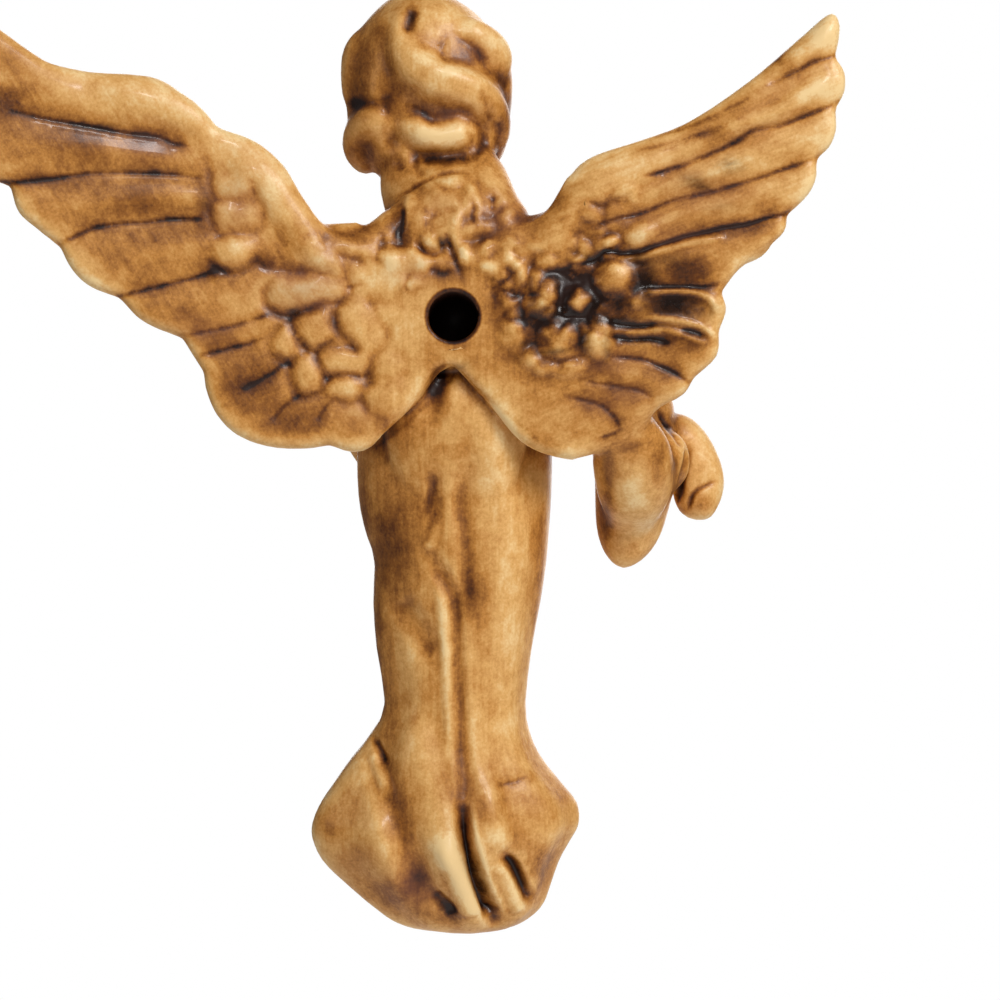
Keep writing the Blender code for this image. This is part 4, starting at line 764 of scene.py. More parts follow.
def evaluated_mesh(thing):
    graph = bpy.context.evaluated_depsgraph_get()
    return bpy.data.meshes.new_from_object(thing.evaluated_get(graph))


def settle(thing):
    """Applies the object's modifiers to its mesh."""
    mesh = evaluated_mesh(thing)
    old = thing.data
    thing.modifiers.clear()
    thing.data = mesh
    bpy.data.meshes.remove(old)


def fuse(thing, grain):
    """Makes the overlapping masses one closed skin."""
    remesh = thing.modifiers.new("fuse", "REMESH")
    remesh.mode = "VOXEL"
    remesh.voxel_size = grain
    settle(thing)


def coordinates(mesh):
    values = np.empty(len(mesh.vertices) * 3)
    mesh.vertices.foreach_get("co", values)
    return values.reshape(-1, 3)


def store(mesh, points):
    mesh.vertices.foreach_set("co", points.ravel())
    mesh.update()


def outward(mesh):
    values = np.empty(len(mesh.vertices) * 3)
    mesh.vertex_normals.foreach_get("vector", values)
    return values.reshape(-1, 3)


def soften(mesh, smoothing, where=1.0, pull=0.5, push=-0.4):
    """Evens the skin out, then swells it most of the way back, so that thin wings don't shrink."""
    rounds = max(1, round(smoothing / CLAY_GRAIN**2))
    ends = np.empty(len(mesh.edges) * 2, int)
    mesh.edges.foreach_get("vertices", ends)
    first, second = ends.reshape(-1, 2).T
    points = coordinates(mesh)
    count = len(points)
    neighbours = np.maximum(np.bincount(first, minlength=count) + np.bincount(second, minlength=count), 1)
    for _ in range(rounds):
        for share in (pull, push):
            change = neighbour_mean(points, first, second, neighbours) - points
            points = points + (np.ones(count) * where * share)[:, None] * change
    store(mesh, points)


def neighbour_mean(points, first, second, neighbours):
    total = np.empty_like(points)
    for axis in range(3):
        total[:, axis] = np.bincount(first, points[second, axis], len(points))
        total[:, axis] += np.bincount(second, points[first, axis], len(points))
    return total / neighbours[:, None]


def trace(points, normals, path, side, width, foremost):
    """Which points lie near a path drawn on the back or the front, and how near, from 0 at its width to 1.

    Also gives how far along the path each is, and the path's third value there, such as how dark it is.
    """
    rows = np.array([row if len(row) == 3 else (*row, 0.5) for row in path])
    line = spline(rows, np.linspace(0, 1, 8 * (len(rows) - 1) + 1))
    low, high = line.min(axis=0) - width, line.max(axis=0) + width
    near = np.nonzero(
        (points[:, 0] > low[0])
        & (points[:, 0] < high[0])
        & (points[:, 2] > low[1])
        & (points[:, 2] < high[1])
        & (points[:, 1] > foremost)
        & (normals[:, 1] * side > 0.05)
    )[0]
    flat = points[near][:, [0, 2]]
    best = np.full(len(near), np.inf)
    share = np.zeros(len(near))
    third = np.zeros(len(near))
    for number, (start, end) in enumerate(zip(line[:-1], line[1:])):
        run = (end - start)[:2]
        along = np.clip(((flat - start[:2]) @ run) / (run @ run), 0, 1)
        distance = np.linalg.norm(flat - start[:2] - along[:, None] * run, axis=1)
        closer = distance < best
        best[closer] = distance[closer]
        share[closer] = (number + along[closer]) / (len(line) - 1)
        third[closer] = start[2] + along[closer] * (end[2] - start[2])
    nearness = np.clip(1 - (best / width) ** 2, 0, 1) ** 2
    turned = np.clip(normals[near, 1] * side * 2.5, 0, 1)
    return near, nearness * turned, share, third


def stroke(points, normals, path, side, width, depth, foremost, ends=0.12):
    """Presses a groove of this width and depth along a path, shallow at its ends."""
    near, nearness, share, _ = trace(points, normals, path, side, width, foremost)
    fade = 0.35 + 0.65 * np.clip(np.minimum(share, 1 - share) / ends, 0, 1)
    points[near] -= normals[near] * (depth * nearness * fade)[:, None]


def brushed(points, marks):
    """The strongest of some soft oval brush marks at each point of the back."""
    strength = np.zeros(len(points))
    for x, z, half_width, half_height, turn, amount in marks:
        cosine, sine = math.cos(math.radians(turn)), math.sin(math.radians(turn))
        away_x, away_z = points[:, 0] - x, points[:, 2] - z
        across = (away_x * cosine + away_z * sine) / half_width
        along = (away_z * cosine - away_x * sine) / half_height
        strength = np.maximum(strength, amount * np.exp(-(across**2 + along**2)))
    return strength


def unevenness(points, size):
    """Smooth noise in x, y and z at each point, from -1 to 1, in lumps of about this size."""
    return np.array([noise.noise_vector(point) for point in points / size])


def raise_lumps(points, normals, lumps):
    """Uneven lumps on the back. Where two meet, the higher one shows, and a crease is left between them."""
    near = np.nonzero((normals[:, 1] > 0.1) & (points[:, 1] > -24) & (np.abs(points[:, 0]) < 70))[0]
    near = near[np.abs(points[near, 2] - 8) < 40]
    broad, fine = unevenness(points[near], 9), unevenness(points[near], 3.4)
    flat = points[near][:, [0, 2]] + LUMP_WARP * broad[:, [0, 2]] + LUMP_WARP * 0.4 * fine[:, [0, 2]]
    height = np.zeros(len(near))
    for x, z, half_width, half_height, turn, rise in lumps:
        cosine, sine = math.cos(math.radians(turn)), math.sin(math.radians(turn))
        away_x, away_z = flat[:, 0] - x, flat[:, 1] - z
        across = (away_x * cosine + away_z * sine) / (half_width * LUMP_SPREAD)
        along = (away_z * cosine - away_x * sine) / (half_height * LUMP_SPREAD)
        inside = np.clip(1 - across**2 - along**2, 0, 1)
        height = np.maximum(height, rise * inside**1.3)
    carved = np.clip(1.2 - np.hypot(points[near, 0] / 62, (points[near, 2] - 4) / 34), 0, 1)
    rough = ROUGHNESS * carved * fine[:, 1] * np.clip(np.hypot(points[near, 0], points[near, 2]) / 8 - 1, 0, 1)
    points[near] += normals[near] * ((height + rough) * np.clip(normals[near, 1] * 2, 0, 1))[:, None]


def curled(points):
    """Which points lie in curled carving, how deep it is there, how near a gap they are and how near a crown."""
    near = np.nonzero((points[:, 1] > -20) & (np.abs(points[:, 0]) < 60) & (np.abs(points[:, 2] - 8) < 36))[0]
    flat = points[near] * (1, 0, 1)
    strength = brushed(flat, CURLED_PLACES) * np.clip(np.hypot(flat[:, 0], flat[:, 2]) / 3 - 2.6, 0, 1)
    carved = np.nonzero(strength > 0.03)[0]
    near, flat, strength = near[carved], flat[carved], strength[carved]
    flat = flat + 1.5 * unevenness(flat, 5) + 0.5 * unevenness(flat, 1.8)
    first, second = np.array([noise.voronoi(point)[0][:2] for point in flat * (1, 0, 1.15) / CURL_SIZE]).T
    return near, strength, np.clip(1 - (second - first) / 0.5, 0, 1), np.clip(1 - (first / 0.75) ** 2, 0, 1)


def raise_curls(points, normals):
    near, strength, gap, crown = curled(points)
    rise = CURL_RISE * strength * (crown - gap * gap * 0.5 * strength) * np.clip(normals[near, 1] * 2, 0, 1)
    points[near] += normals[near] * rise[:, None]


def face_the_hole(points):
    """Levels a round land for the hole's mouth on the plane through the origin."""
    land = (HOLE_DIAMETER / 2 + HOLE_LAND_WIDTH) / PART
    radius = np.hypot(points[:, 0], points[:, 2])
    blend = np.clip((land * 1.7 - radius) / (land * 0.7), 0, 1)
    blend = blend * blend * (3 - 2 * blend)
    back = points[:, 1] > -8
    points[back, 1] += (blend * -points[:, 1])[back]


def carve_face(points, normals):
    centre = np.array([HEAD_CENTRE[0], HEAD_CENTRE[2]])
    for width, depth, path in FACE_CARVING:
        for mirror in (-1, 1):
            stroke(points, normals, centre + np.array(path) * (mirror, 1), FRONT, width, depth, HEAD_FRONT)


def carve(mesh):
    points = coordinates(mesh)
    normals = outward(mesh)
    for width, depth, path in LEFT_CREASES + RIGHT_CREASES:
        stroke(points, normals, path, BACK, width * 3, depth * 0.5, WING_FRONT)
        stroke(points, normals, path, BACK, width * 0.55, depth * 0.55, WING_FRONT)
        stroke(points, normals, path, FRONT, width * 1.5, depth * CREASE_FRONT_SHARE, WING_FRONT)
    raise_lumps(points, normals, LEFT_COVERTS + RIGHT_COVERTS + BACK_CURLS)
    raise_curls(points, normals)
    for width, depth, path in LEFT_STONES:
        stroke(points, normals, path, BACK, width * 1.7, depth, WING_FRONT * 2)
    for width, depth, path in BACK_GROOVES + RIDGES:
        stroke(points, normals, path, BACK, width, depth, WING_FRONT * 2)
    for width, depth, path in GOWN_GROOVES + GOWN_RIDGES + SLEEVE_GROOVES + HAIR_GROOVES + HAIR_RIDGES:
        stroke(points, normals, path, BACK, width, depth, GOWN_FRONT)
    for width, depth, path in GOWN_FOLDS:
        stroke(points, normals, path, FRONT, width, depth, GOWN_FRONT)
    carve_face(points, normals)
    face_the_hole(points)
    store(mesh, points)


def clay_object(name, lay_all):
    clay = bmesh.new()
    lay_all(clay)
    mesh = bpy.data.meshes.new(name)
    clay.to_mesh(mesh)
    clay.free()
    return bpy.data.objects.new(name, mesh)


def lay_cuff(clay, middle, way, radius, thickness):
    """A ring round a sleeve's end."""
    first = way.orthogonal().normalized()
    second = way.cross(first)
    turns = [math.tau * step / 12 for step in range(13)]
    ring = [middle + radius * (math.cos(turn) * first + math.sin(turn) * second) for turn in turns]
    lay(clay, [(*point, thickness, thickness) for point in ring], along=48)


def lay_figure(clay):
    lay_body(clay)
    lay_head(clay)
    lay_arms(clay)
    lay_wings(clay)
    for spine in JOINS:
        lay(clay, spine, caps=(0.4, 0.4))
    for middle, way, radius, thickness in CUFFS:
        lay_cuff(clay, Vector(middle), Vector(way).normalized(), radius, thickness)


def thin_out(thing, triangles):
    """Keeps this many triangles, most of them where the skin bends."""
    thing.data.calc_loop_triangles()
    decimate = thing.modifiers.new("thin", "DECIMATE")
    decimate.ratio = triangles / len(thing.data.loop_triangles)
    decimate.vertex_group = thing.vertex_groups[0].name
    decimate.vertex_group_factor = 0.2
    settle(thing)


# Places of the back carved all over with small curls, in the form of the stains below.
CURLED_PLACES = [
    (-26.8, 4, 15.5, 14, 0, 0.8),
    (-14.8, 7.8, 5.5, 11.5, 0, 0.9),
    (-36.8, 16.5, 10, 6.5, -12, 0.7),
    (-37.8, 27.8, 8.5, 4.5, -16, 0.5),
    (-23, -11.5, 8.5, 3.5, 12, 0.7),
    (-48, 20.2, 4, 3, 0, 0.4),
    (3.2, 25.2, 10, 9, 0, 0.35),
    (-11.8, 25.2, 7.5, 6.5, 0, 0.45),
    (13.8, 13.5, 6, 4, 0, 0.3),
    (30.8, 16.5, 10, 4.5, 0, 0.35),
    (-4.2, 14.5, 6, 4.5, 0, 0.45),
    (53.2, 29, 6, 10, 0, 0.35),
]

# Glaze stains, as x, z, half width, half height, turn in degrees and strength. The brown marks on the left side of the
# head, of the gown and of the right sleeve, and along the left wing's lower edge, are partly painted shade on the
# sides turned from the high light. The pale marks are partly painted highlights.
BROWN_STAINS_AND_SHADE = [
    (-30.5, -1, 12.5, 9, 0, 0.3),
    (0.8, 31.5, 10, 4, 0, 0.25),
    (14.5, 22.8, 5, 4, 0, 0.3),
    (22, 22, 6, 2, -20, 0.4),
    (-38.4, -48.6, 1.5, 12.5, 0, 0.5),
    (-56, -38.3, 2, 10, -10, 0.4),
    (-45.8, -32.6, 8.5, 2, 8, 0.35),
    (-63.5, -46.8, 5, 3.5, 0, 0.4),
    (108.2, 46.5, 10, 7.5, 0, 0.1),
    (-13.3, 53.1, 4, 7.5, 0, 0.7),
    (24.7, 64.8, 4.5, 11, 0, 0.5),
    (23.1, 55.1, 5.5, 5, 0, 0.3),
    (23.6, 43.8, 4.5, 5, 0, 0.5),
    (-43, -19.8, 12.5, 6.5, -10, 0.45),
    (-50.5, -14, 8.5, 4, -14, 0.4),
    (-71.8, 19.5, 10, 3.5, 12, 0.3),
    (-64.5, -47.6, 4.5, 2.5, 0, 0.6),
    (-54.8, 3, 8.5, 3.5, 0, 0.7),
    (-46.8, 7.8, 4, 6.5, 0, 0.6),
    (-26.8, 0.2, 10, 6, 0, 0.5),
    (-34.2, 2.8, 16, 11, 0, 0.6),
    (-49.2, 6.5, 10, 7.5, 0, 0.4),
    (108.2, 64, 7.5, 7.5, 0, 0.2),
    (28.2, 25.2, 10, 4, 30, 0.25),
    (7.2, -51, 6.5, 15, 8, 0.35),
    (0.4, -61.1, 3, 12.5, 0, 0.2),
    (92, 41.5, 10.5, 5, 6, 0.45),
    (69.5, 0.2, 12.5, 4, 14, 0.45),
    (83.2, 13.5, 10, 5, 24, 0.25),
    (52, -17.2, 11, 10, 0, 0.5),
    (59.5, -7.2, 6.5, 6, 0, 0.4),
    (38.2, -27.2, 12.5, 4, 0, 0.5),
    (30.8, -13.5, 10, 7.5, 0, 0.15),
    (75.8, 41, 6.5, 4.5, 0, 0.45),
    (78.2, 28.5, 11.5, 4, 6, 0.42),
    (69.5, 19.5, 7.5, 3, 0, 0.3),
    (61.8, 27.8, 3, 11, 0, 0.4),
    (59.2, 11, 5.5, 3, 12, 0.45),
    (109.8, 52, 6.5, 4.5, 0, 0.5),
    (98.2, 32.8, 15, 1.75, 0, 0.3),
    (85.8, 21, 12.5, 1.75, 20, 0.3),
    (72, 6.5, 11.25, 1.75, 14, 0.3),
    (55.2, -7.2, 10, 2, 14, 0.35),
    (49.5, -24, 10.5, 5.5, -30, 0.3),
    (27, -27.8, 6.5, 3.5, 0, 0.5),
    (16.8, -28, 4.5, 3.5, 40, 0.7),
    (27, 19, 6, 3, 0, 0.5),
    (46.2, 13.5, 3.5, 3, 0, 0.35),
    (40.8, -0.5, 8.5, 2.5, 0, 0.3),
    (30.8, -3.5, 7.5, 6.5, 0, 0.18),
    (38.2, -22.2, 9, 4, 0, 0.3),
    (38.2, 30.2, 3.5, 10, 30, 0.2),
    (-29.8, 4, 14, 11, 0, 0.5),
    (-18.2, -1.5, 9, 10, 0, 0.42),
    (-57.8, 11, 10, 4.5, 0, 0.5),
    (-57.8, -7.2, 9, 4, 0, 0.4),
    (-50.5, -15, 11.5, 2.5, -14, 0.4),
    (-36.8, -13.5, 7.5, 3, 0, 0.42),
    (-36.8, 23.5, 12.5, 4.5, 14, 0.22),
    (-11.2, 22, 9, 6.5, 0, 0.3),
    (-19.2, 23.5, 7.5, 4, 0, 0.35),
    (-25, 31.5, 3.5, 8.5, -20, 0.5),
    (-59.2, 47, 17.5, 3, 20, 0.35),
    (-74.2, 30, 15, 3, 16, 0.25),
    (-76.8, 21, 10, 2.5, 10, 0.4),
    (-84.2, 60.2, 6, 2.5, 30, 0.25),
    (-81.2, 63.5, 7.5, 1.75, 42, 0.35),
    (3.8, 29, 12.5, 8.5, 0, 0.12),
    (13.8, 22.5, 4, 7, 0, 0.5),
    (0.8, 11.5, 5.5, 3.5, 0, 0.4),
    (-11.8, 4, 6, 5.5, 0, 0.3),
    (-0.5, -7.2, 7.5, 2, 0, 0.2),
    (3.9, -17.7, 2.5, 7.5, -6, 0.7),
    (15.5, -30.9, 8.5, 8.5, 0, 0.4),
    (15.5, -56.1, 8.5, 17.5, 0, 0.5),
    (17.3, -96.5, 3.5, 20, 0, 0.3),
    (-2.2, -57.4, 6, 13.5, 0, 0.3),
    (-4.2, -70, 4, 7, 0, 0.45),
    (-21.9, -33.9, 4, 5, 0, 0.4),
    (-21.9, -53.6, 1.75, 22.5, 0, 0.4),
    (23.1, -51, 2.25, 15, 0, 0.5),
    (19.6, -83.9, 2.5, 20, 0, 0.45),
    (-0.9, -114.2, 2.5, 15, 0, 0.3),
    (32.2, -129.3, 4, 3.5, 0, 0.4),
    (20.6, -137.4, 7.5, 3, -20, 0.2),
    (11.5, -144.5, 7.5, 5.5, -20, 0.5),
    (-7.7, -124.8, 5, 5, 0, 0.4),
    (-21.9, -139.9, 5, 6.5, 0, 0.3),
    (-25.6, -124.3, 5.5, 5.5, 0, 0.2),
    (5.9, -81.3, 3, 8.5, 0, 0.25),
    (13.5, -121.8, 3, 12.5, -10, 0.35),
    (0.9, -150.8, 10, 2.5, 0, 0.5),
    (-39, -47.3, 1.75, 14, 0, 0.6),
    (-51.6, -35.2, 3, 7.5, 0, 0.4),
    (-47.8, -58.9, 7.5, 2.5, 0, 0.3),
    (-53.9, -26.7, 4, 4.5, 0, 0.4),
    (-59.3, -46, 2.25, 7.5, 0, 0.5),
    (-63.5, -46, 4.5, 3, 0, 0.3),
    (24.7, 57.7, 4, 10, 0, 0.6),
    (16.1, 57.2, 5, 3.5, 0, 0.5),
    (24.2, 43, 5.5, 3.5, 0, 0.6),
    (16.6, 64.2, 3, 7.5, 0, 0.35),
    (18.6, 72.8, 3.5, 6.5, -20, 0.35),
    (-3.7, 67.3, 5, 3.5, -20, 0.45),
    (5.9, 52.1, 12.5, 2.25, 0, 0.35),
    (-8.2, 42.5, 4.5, 5, 0, 0.4),
    (3.4, 40, 8.5, 2.5, 0, 0.45),
    (-13.3, 62.7, 2.5, 3, 0, 0.45),
    (-11.8, 50.1, 3.5, 9, 0, 0.3),
    (14.8, 40, 6, 5, 0, 0.35),
    (11, 76.6, 2.5, 4, 0, 0.4),
]
BLACK_STAINS = [
    (-48.2, 9, 2.5, 5.5, 0, 1),
    (-46.2, 14.5, 3.25, 1.75, 10, 0.75),
    (-54.8, 2.5, 6.75, 2, 0, 1),
    (-61.8, 1.2, 3.25, 1.75, -10, 0.85),
    (-39.2, -1.2, 6.5, 1.25, 0, 1),
    (-42.2, 2.8, 3, 1.5, 0, 0.6),
    (-26.8, 0.8, 3.5, 1.75, 0, 0.9),
    (-21.8, 0.5, 2.5, 4, 0, 0.5),
    (-26, 7.8, 0.75, 3, 0, 0.7),
    (-35.8, 3.2, 2, 2.25, 0, 0.85),
    (-33, -6, 1.5, 3, 0, 0.75),
    (-24.8, -9, 5, 0.75, -6, 0.7),
    (-38.5, -7.5, 1, 3.5, 0, 0.7),
    (-26.2, -2, 3, 1, 0, 0.7),
    (-29.5, 5, 1.25, 1.75, 0, 0.5),
    (-54.8, 13.5, 5, 1.75, 0, 0.55),
    (-17.2, -0.5, 1.25, 1.25, 0, 0.6),
    (-18, -7.2, 1.25, 1.25, 0, 0.6),
    (-34.2, 14.5, 3, 1.25, 10, 0.8),
    (-38.5, 16, 2.5, 1, 0, 0.8),
    (-46.8, -6, 7.5, 1, 0, 0.6),
    (-46.8, -2.5, 6.5, 0.75, 0, 0.6),
    (-61.2, 33, 4.25, 1.5, 24, 0.6),
    (-69.2, 37.8, 2.25, 1.75, 10, 0.6),
    (-67, 26.5, 2, 1.25, 0, 0.35),
    (39, 0.8, 2, 1, 16, 0.8),
    (2.8, 18.2, 1.25, 1.75, 0, 0.7),
    (2.5, 10.5, 2, 1, 0, 0.4),
    (3.2, 40.2, 6, 1, 0, 0.2),
    (10.5, 76.6, 0.75, 2.25, -10, 0.6),
    (-6.2, -141.9, 2.25, 10, -24, 0.9),
    (-17.1, -143, 1.25, 3.5, -24, 0.5),
    (1.9, -148.5, 1.5, 2, 0, 0.5),
    (-1.4, -12.9, 3, 1, -30, 0.4),
    (88.2, 46.2, 5.5, 0.75, -6, 0.5),
    (67.5, 23.8, 4, 0.62, 4, 0.5),
    (75, 35, 3, 0.62, 0, 0.4),
    (61.5, 27.8, 1.25, 2, 0, 0.4),
]
MAUVE_STAINS = [
    (37, 7, 10, 5, 0, 0.8),
    (53.8, 27.8, 6.5, 8.5, 0, 0.6),
    (75.8, 41, 7.5, 4, 0, 0.45),
    (30.8, 13.5, 6, 4, 0, 0.5),
    (10.2, 11, 6.5, 4, 0, 0.5),
    (-11.8, 25.2, 7.5, 6, 0, 0.5),
    (3.2, 27.8, 6, 5, 0, 0.35),
    (-61.8, 31.5, 11, 6.5, 20, 0.35),
    (-53, 21.5, 10, 4.5, 14, 0.35),
    (-41.8, -21, 11.5, 4, -10, 0.35),
    (-3.7, 67.3, 5, 3.5, -20, 0.45),
    (-0.4, 52.1, 6, 2.5, 0, 0.5),
    (11, -144.5, 7.5, 6, 0, 0.6),
    (26.1, -139.4, 7.5, 5, -30, 0.3),
    (-41.8, -12.2, 10, 3.5, 0, 0.3),
    (63.2, -3.5, 10, 3.5, 0, 0.3),
    (23.2, -24.8, 6, 3.5, 0, 0.35),
    (-4.2, -121.8, 5, 10, 0, 0.25),
]
# Pale glaze, and painted highlights on the hair's rolls, the right sleeve, some lumps' crowns and the right wing's tip
# and feathers.
PALE_GLAZE_AND_HIGHLIGHTS = [
    (17, 10.2, 10, 3.5, -20, 0.9),
    (14.8, -33.4, 7.5, 7.5, 0, 0.3),
    (-21.9, -41, 2.5, 10, 0, 0.5),
    (-91.8, 56.5, 7.5, 3.5, 42, 0.8),
    (-74.2, 32.8, 15, 5, 16, 0.4),
    (-11.8, -6, 6, 3.5, 0, 0.4),
    (88.2, 56.5, 20, 5, 8, 0.4),
    (33.2, 7.2, 7.5, 3, 0, 0.4),
    (6.5, 65.3, 6, 2, -24, 0.6),
    (1.8, 27.8, 4, 5, 0, 0.1),
    (-76.8, 37.8, 10, 2.5, 16, 0.5),
    (-91.2, 54.5, 6, 3, 40, 0.7),
    (17, 10.2, 10, 4, -20, 0.6),
    (30.8, 6.5, 7.5, 3, 0, 0.4),
    (1.8, 27.8, 4, 5, 0, 0.3),
    (20.6, -137.4, 7.5, 3.5, -20, 0.3),
    (17, 10.2, 7.5, 3.5, -20, 0.8),
    (13.2, -3.5, 10, 8.5, 0, 0.45),
    (22, -3.5, 5, 6, 0, 0.3),
    (27, -11.5, 5.5, 2.5, 0, 0.35),
    (15.8, -19.8, 4.5, 3, 0, 0.35),
    (27, -18.2, 3.5, 2, 0, 0.4),
    (36.2, -13.5, 3, 3.5, 0, 0.4),
    (33.8, -3, 3.5, 3, 0, 0.2),
    (37, 6.5, 7.5, 3, 0, 0.5),
    (33.2, 15.2, 6, 2.5, 0, 0.35),
    (53.8, 16.5, 3.5, 3, 0, 0.5),
    (53.8, 32.8, 4.5, 3, 0, 0.5),
    (52, 25.2, 4, 3, 0, 0.45),
    (83.2, 54, 20, 4.5, 8, 0.45),
    (55.8, 41.5, 6.5, 7.5, -40, 0.4),
    (44.5, 29, 5.5, 12.5, 30, 0.45),
    (83.2, 11.5, 10, 3.5, 30, 0.1),
    (-41.2, 36.5, 6.5, 4.5, 0, 0.45),
    (-33, 37.8, 5, 4, 0, 0.2),
    (-91.8, 68.5, 3, 6.5, -30, 0.7),
    (-89.8, 54.5, 7.5, 2.5, 36, 0.7),
    (-86.8, 45.2, 8.5, 2.5, 24, 0.45),
    (-73, 40.2, 10, 2.5, 22, 0.3),
    (-46.8, -21, 7.5, 3, -10, 0.25),
    (-66.8, 14.5, 6.5, 1.5, 14, 0.3),
    (-11.8, -28.3, 5.5, 12.5, 0, 0.65),
    (-9.2, -41, 6, 15, 0, 0.45),
    (-14.3, -71.2, 5, 22.5, 0, 0.5),
    (-13, -99, 4.5, 15, 0, 0.35),
    (1.9, -81.3, 1.5, 17.5, 0, 0.4),
    (13.5, -96.5, 4, 15, 0, 0.3),
    (5.9, -119.2, 5, 15, 0, 0.2),
    (22.3, -116.7, 5, 6, 0, 0.25),
    (-11, -130.3, 2.5, 2, 0, 0.5),
    (3.4, -136.9, 3.5, 8.5, -14, 0.35),
    (-21.9, -119.2, 6, 5.5, 0, 0.25),
    (-11.8, -141.9, 2, 6.5, -20, 0.3),
    (-45.7, -44.7, 3.25, 6, 0, 0.6),
    (-49, -53.7, 4, 5, 0, 0.3),
    (-43.9, -30.6, 4.5, 3.5, 0, 0.25),
    (-64.8, -32.6, 3.5, 6.5, -30, 0.5),
    (-64.8, -43.4, 3, 3, 0, 0.2),
    (6.5, 65.8, 5, 1.75, -24, 0.8),
    (0.9, 62.2, 6.5, 1.5, -18, 0.6),
    (3.4, 46.5, 7.5, 2.75, 0, 0.7),
    (-9.2, 70.3, 3.5, 1.75, -10, 0.6),
    (3.4, 76.6, 6, 3, 0, 0.45),
    (12.8, 41.2, 2, 3.5, -30, 0.5),
    (19.1, 48.6, 2.5, 2.5, 0, 0.45),
    (24.7, 50.6, 2.5, 3, 0, 0.3),
    (14.8, 69, 2.5, 7.5, 0, 0.2),
    (-11.8, 56.4, 3, 4, 0, 0.35),
    (-2.9, 74.9, 4, 4, 0, 0.5),
    (1.2, 34, 3.5, 1.5, 0, 0.5),
    (-1.8, 20.2, 1.25, 4, 0, 0.6),
    (-3.2, 15.2, 1.5, 3, 0, 0.5),
    (-14.2, 15.2, 2.5, 2, 0, 0.5),
    (-9.2, 12, 2, 1.75, 0, 0.6),
    (-13, -8.5, 4, 2.5, 0, 0.1),
    (-16.5, 10.8, 1.5, 2, 0, 0.6),
    (-18.5, 4.8, 1, 3.5, 0, 0.6),
    (-23.2, 13.2, 1.75, 1.75, 0, 0.5),
    (-46.8, 20, 2.25, 1.75, 0, 0.7),
    (-42.2, 11.5, 2.5, 1.25, 0, 0.6),
    (-41.2, 7.8, 2.5, 2, 0, 0.2),
    (-23, 4.5, 1.75, 3, 0, 0.4),
    (-32.2, 3.5, 1.5, 2, 0, 0.4),
    (-26.8, -6.5, 2, 2.5, 0, 0.3),
    (-37.2, -6, 2, 3, 0, 0.45),
    (-28.2, -12.5, 2.5, 1.25, 0, 0.2),
    (-59.2, -3.5, 7.5, 1.25, 0, 0.2),
    (-6.8, -6, 5, 5, 0, 0.3),
]


# How strong the stain is in each kind of crease, on which side, and how far forward it reaches. On the back's lines
# along the wings' lower edges it is stain and painted shade.
STAINED = [
    (LEFT_CREASES, BACK, 0.6, WING_FRONT * 2),
    (RIGHT_CREASES, BACK, 0.6, WING_FRONT * 2),
    (LEFT_STONES, BACK, 0.28, WING_FRONT * 2),
    (BACK_GROOVES, BACK, 0.36, WING_FRONT * 2),
    (GOWN_GROOVES, BACK, 0.22, GOWN_FRONT),
    (SLEEVE_GROOVES, BACK, 0.22, GOWN_FRONT),
    (HAIR_GROOVES, BACK, 0.22, GOWN_FRONT),
    (LEFT_CREASES + RIGHT_CREASES, FRONT, 0.5, WING_FRONT),
    (GOWN_FOLDS, FRONT, 0.9, GOWN_FRONT * 2),
]
RIM_WIDTH = 0.0005
FOREMOST = CAD_BOX[0][1] / PART + 0.1
INK_WIDTH = 0.85
HALO_WIDTH = 2.8


def hollowness(mesh, rounds):
    """How far each point of the skin lies below the skin's local mean, in parts. Crowns are below zero."""
    ends = np.empty(len(mesh.edges) * 2, int)
    mesh.edges.foreach_get("vertices", ends)
    first, second = ends.reshape(-1, 2).T
    points = coordinates(mesh)
    count = len(points)
    neighbours = np.maximum(np.bincount(first, minlength=count) + np.bincount(second, minlength=count), 1)
    mean = points
    for _ in range(rounds):
        mean = 0.5 * mean + 0.5 * neighbour_mean(mean, first, second, neighbours)
    return np.sum((mean - points) * outward(mesh), axis=1)


def carry(source_points, values, points):
    """The values at the nearest of the source's points."""
    tree = KDTree(len(source_points))
    for index, point in enumerate(source_points):
        tree.insert(point, index)
    tree.balance()
    return values[[tree.find(point)[1] for point in points]]


def inked(points, normals):
    """How dark the stain is that lies in each drawn crease, and how near a point is to the brown beside it."""
    ink, halo = np.zeros(len(points)), np.zeros(len(points))
    for rows, side, strength, foremost in STAINED:
        for _, depth, path in rows:
            if depth >= 0:
                near, nearness, _, darkness = trace(points, normals, path, side, INK_WIDTH, foremost)
                ink[near] = np.maximum(ink[near], nearness * darkness * strength)
                near, nearness, _, darkness = trace(points, normals, path, side, HALO_WIDTH, foremost)
                halo[near] = np.maximum(halo[near], nearness * darkness * strength)
    near, strength, gap, crown = curled(points)
    between = strength * np.clip(strength * 1.6, 0, 1) * np.clip(normals[near, 1] * 2, 0, 1) * (1 - crown * 0.6)
    ink[near] = np.maximum(ink[near], between * gap**2 * 0.6)
    halo[near] = np.maximum(halo[near], between)
    return ink, halo


def write_field(mesh, name, values):
    field = mesh.attributes.new(name, "FLOAT", "POINT")
    field.data.foreach_set("value", values.astype(np.float32))


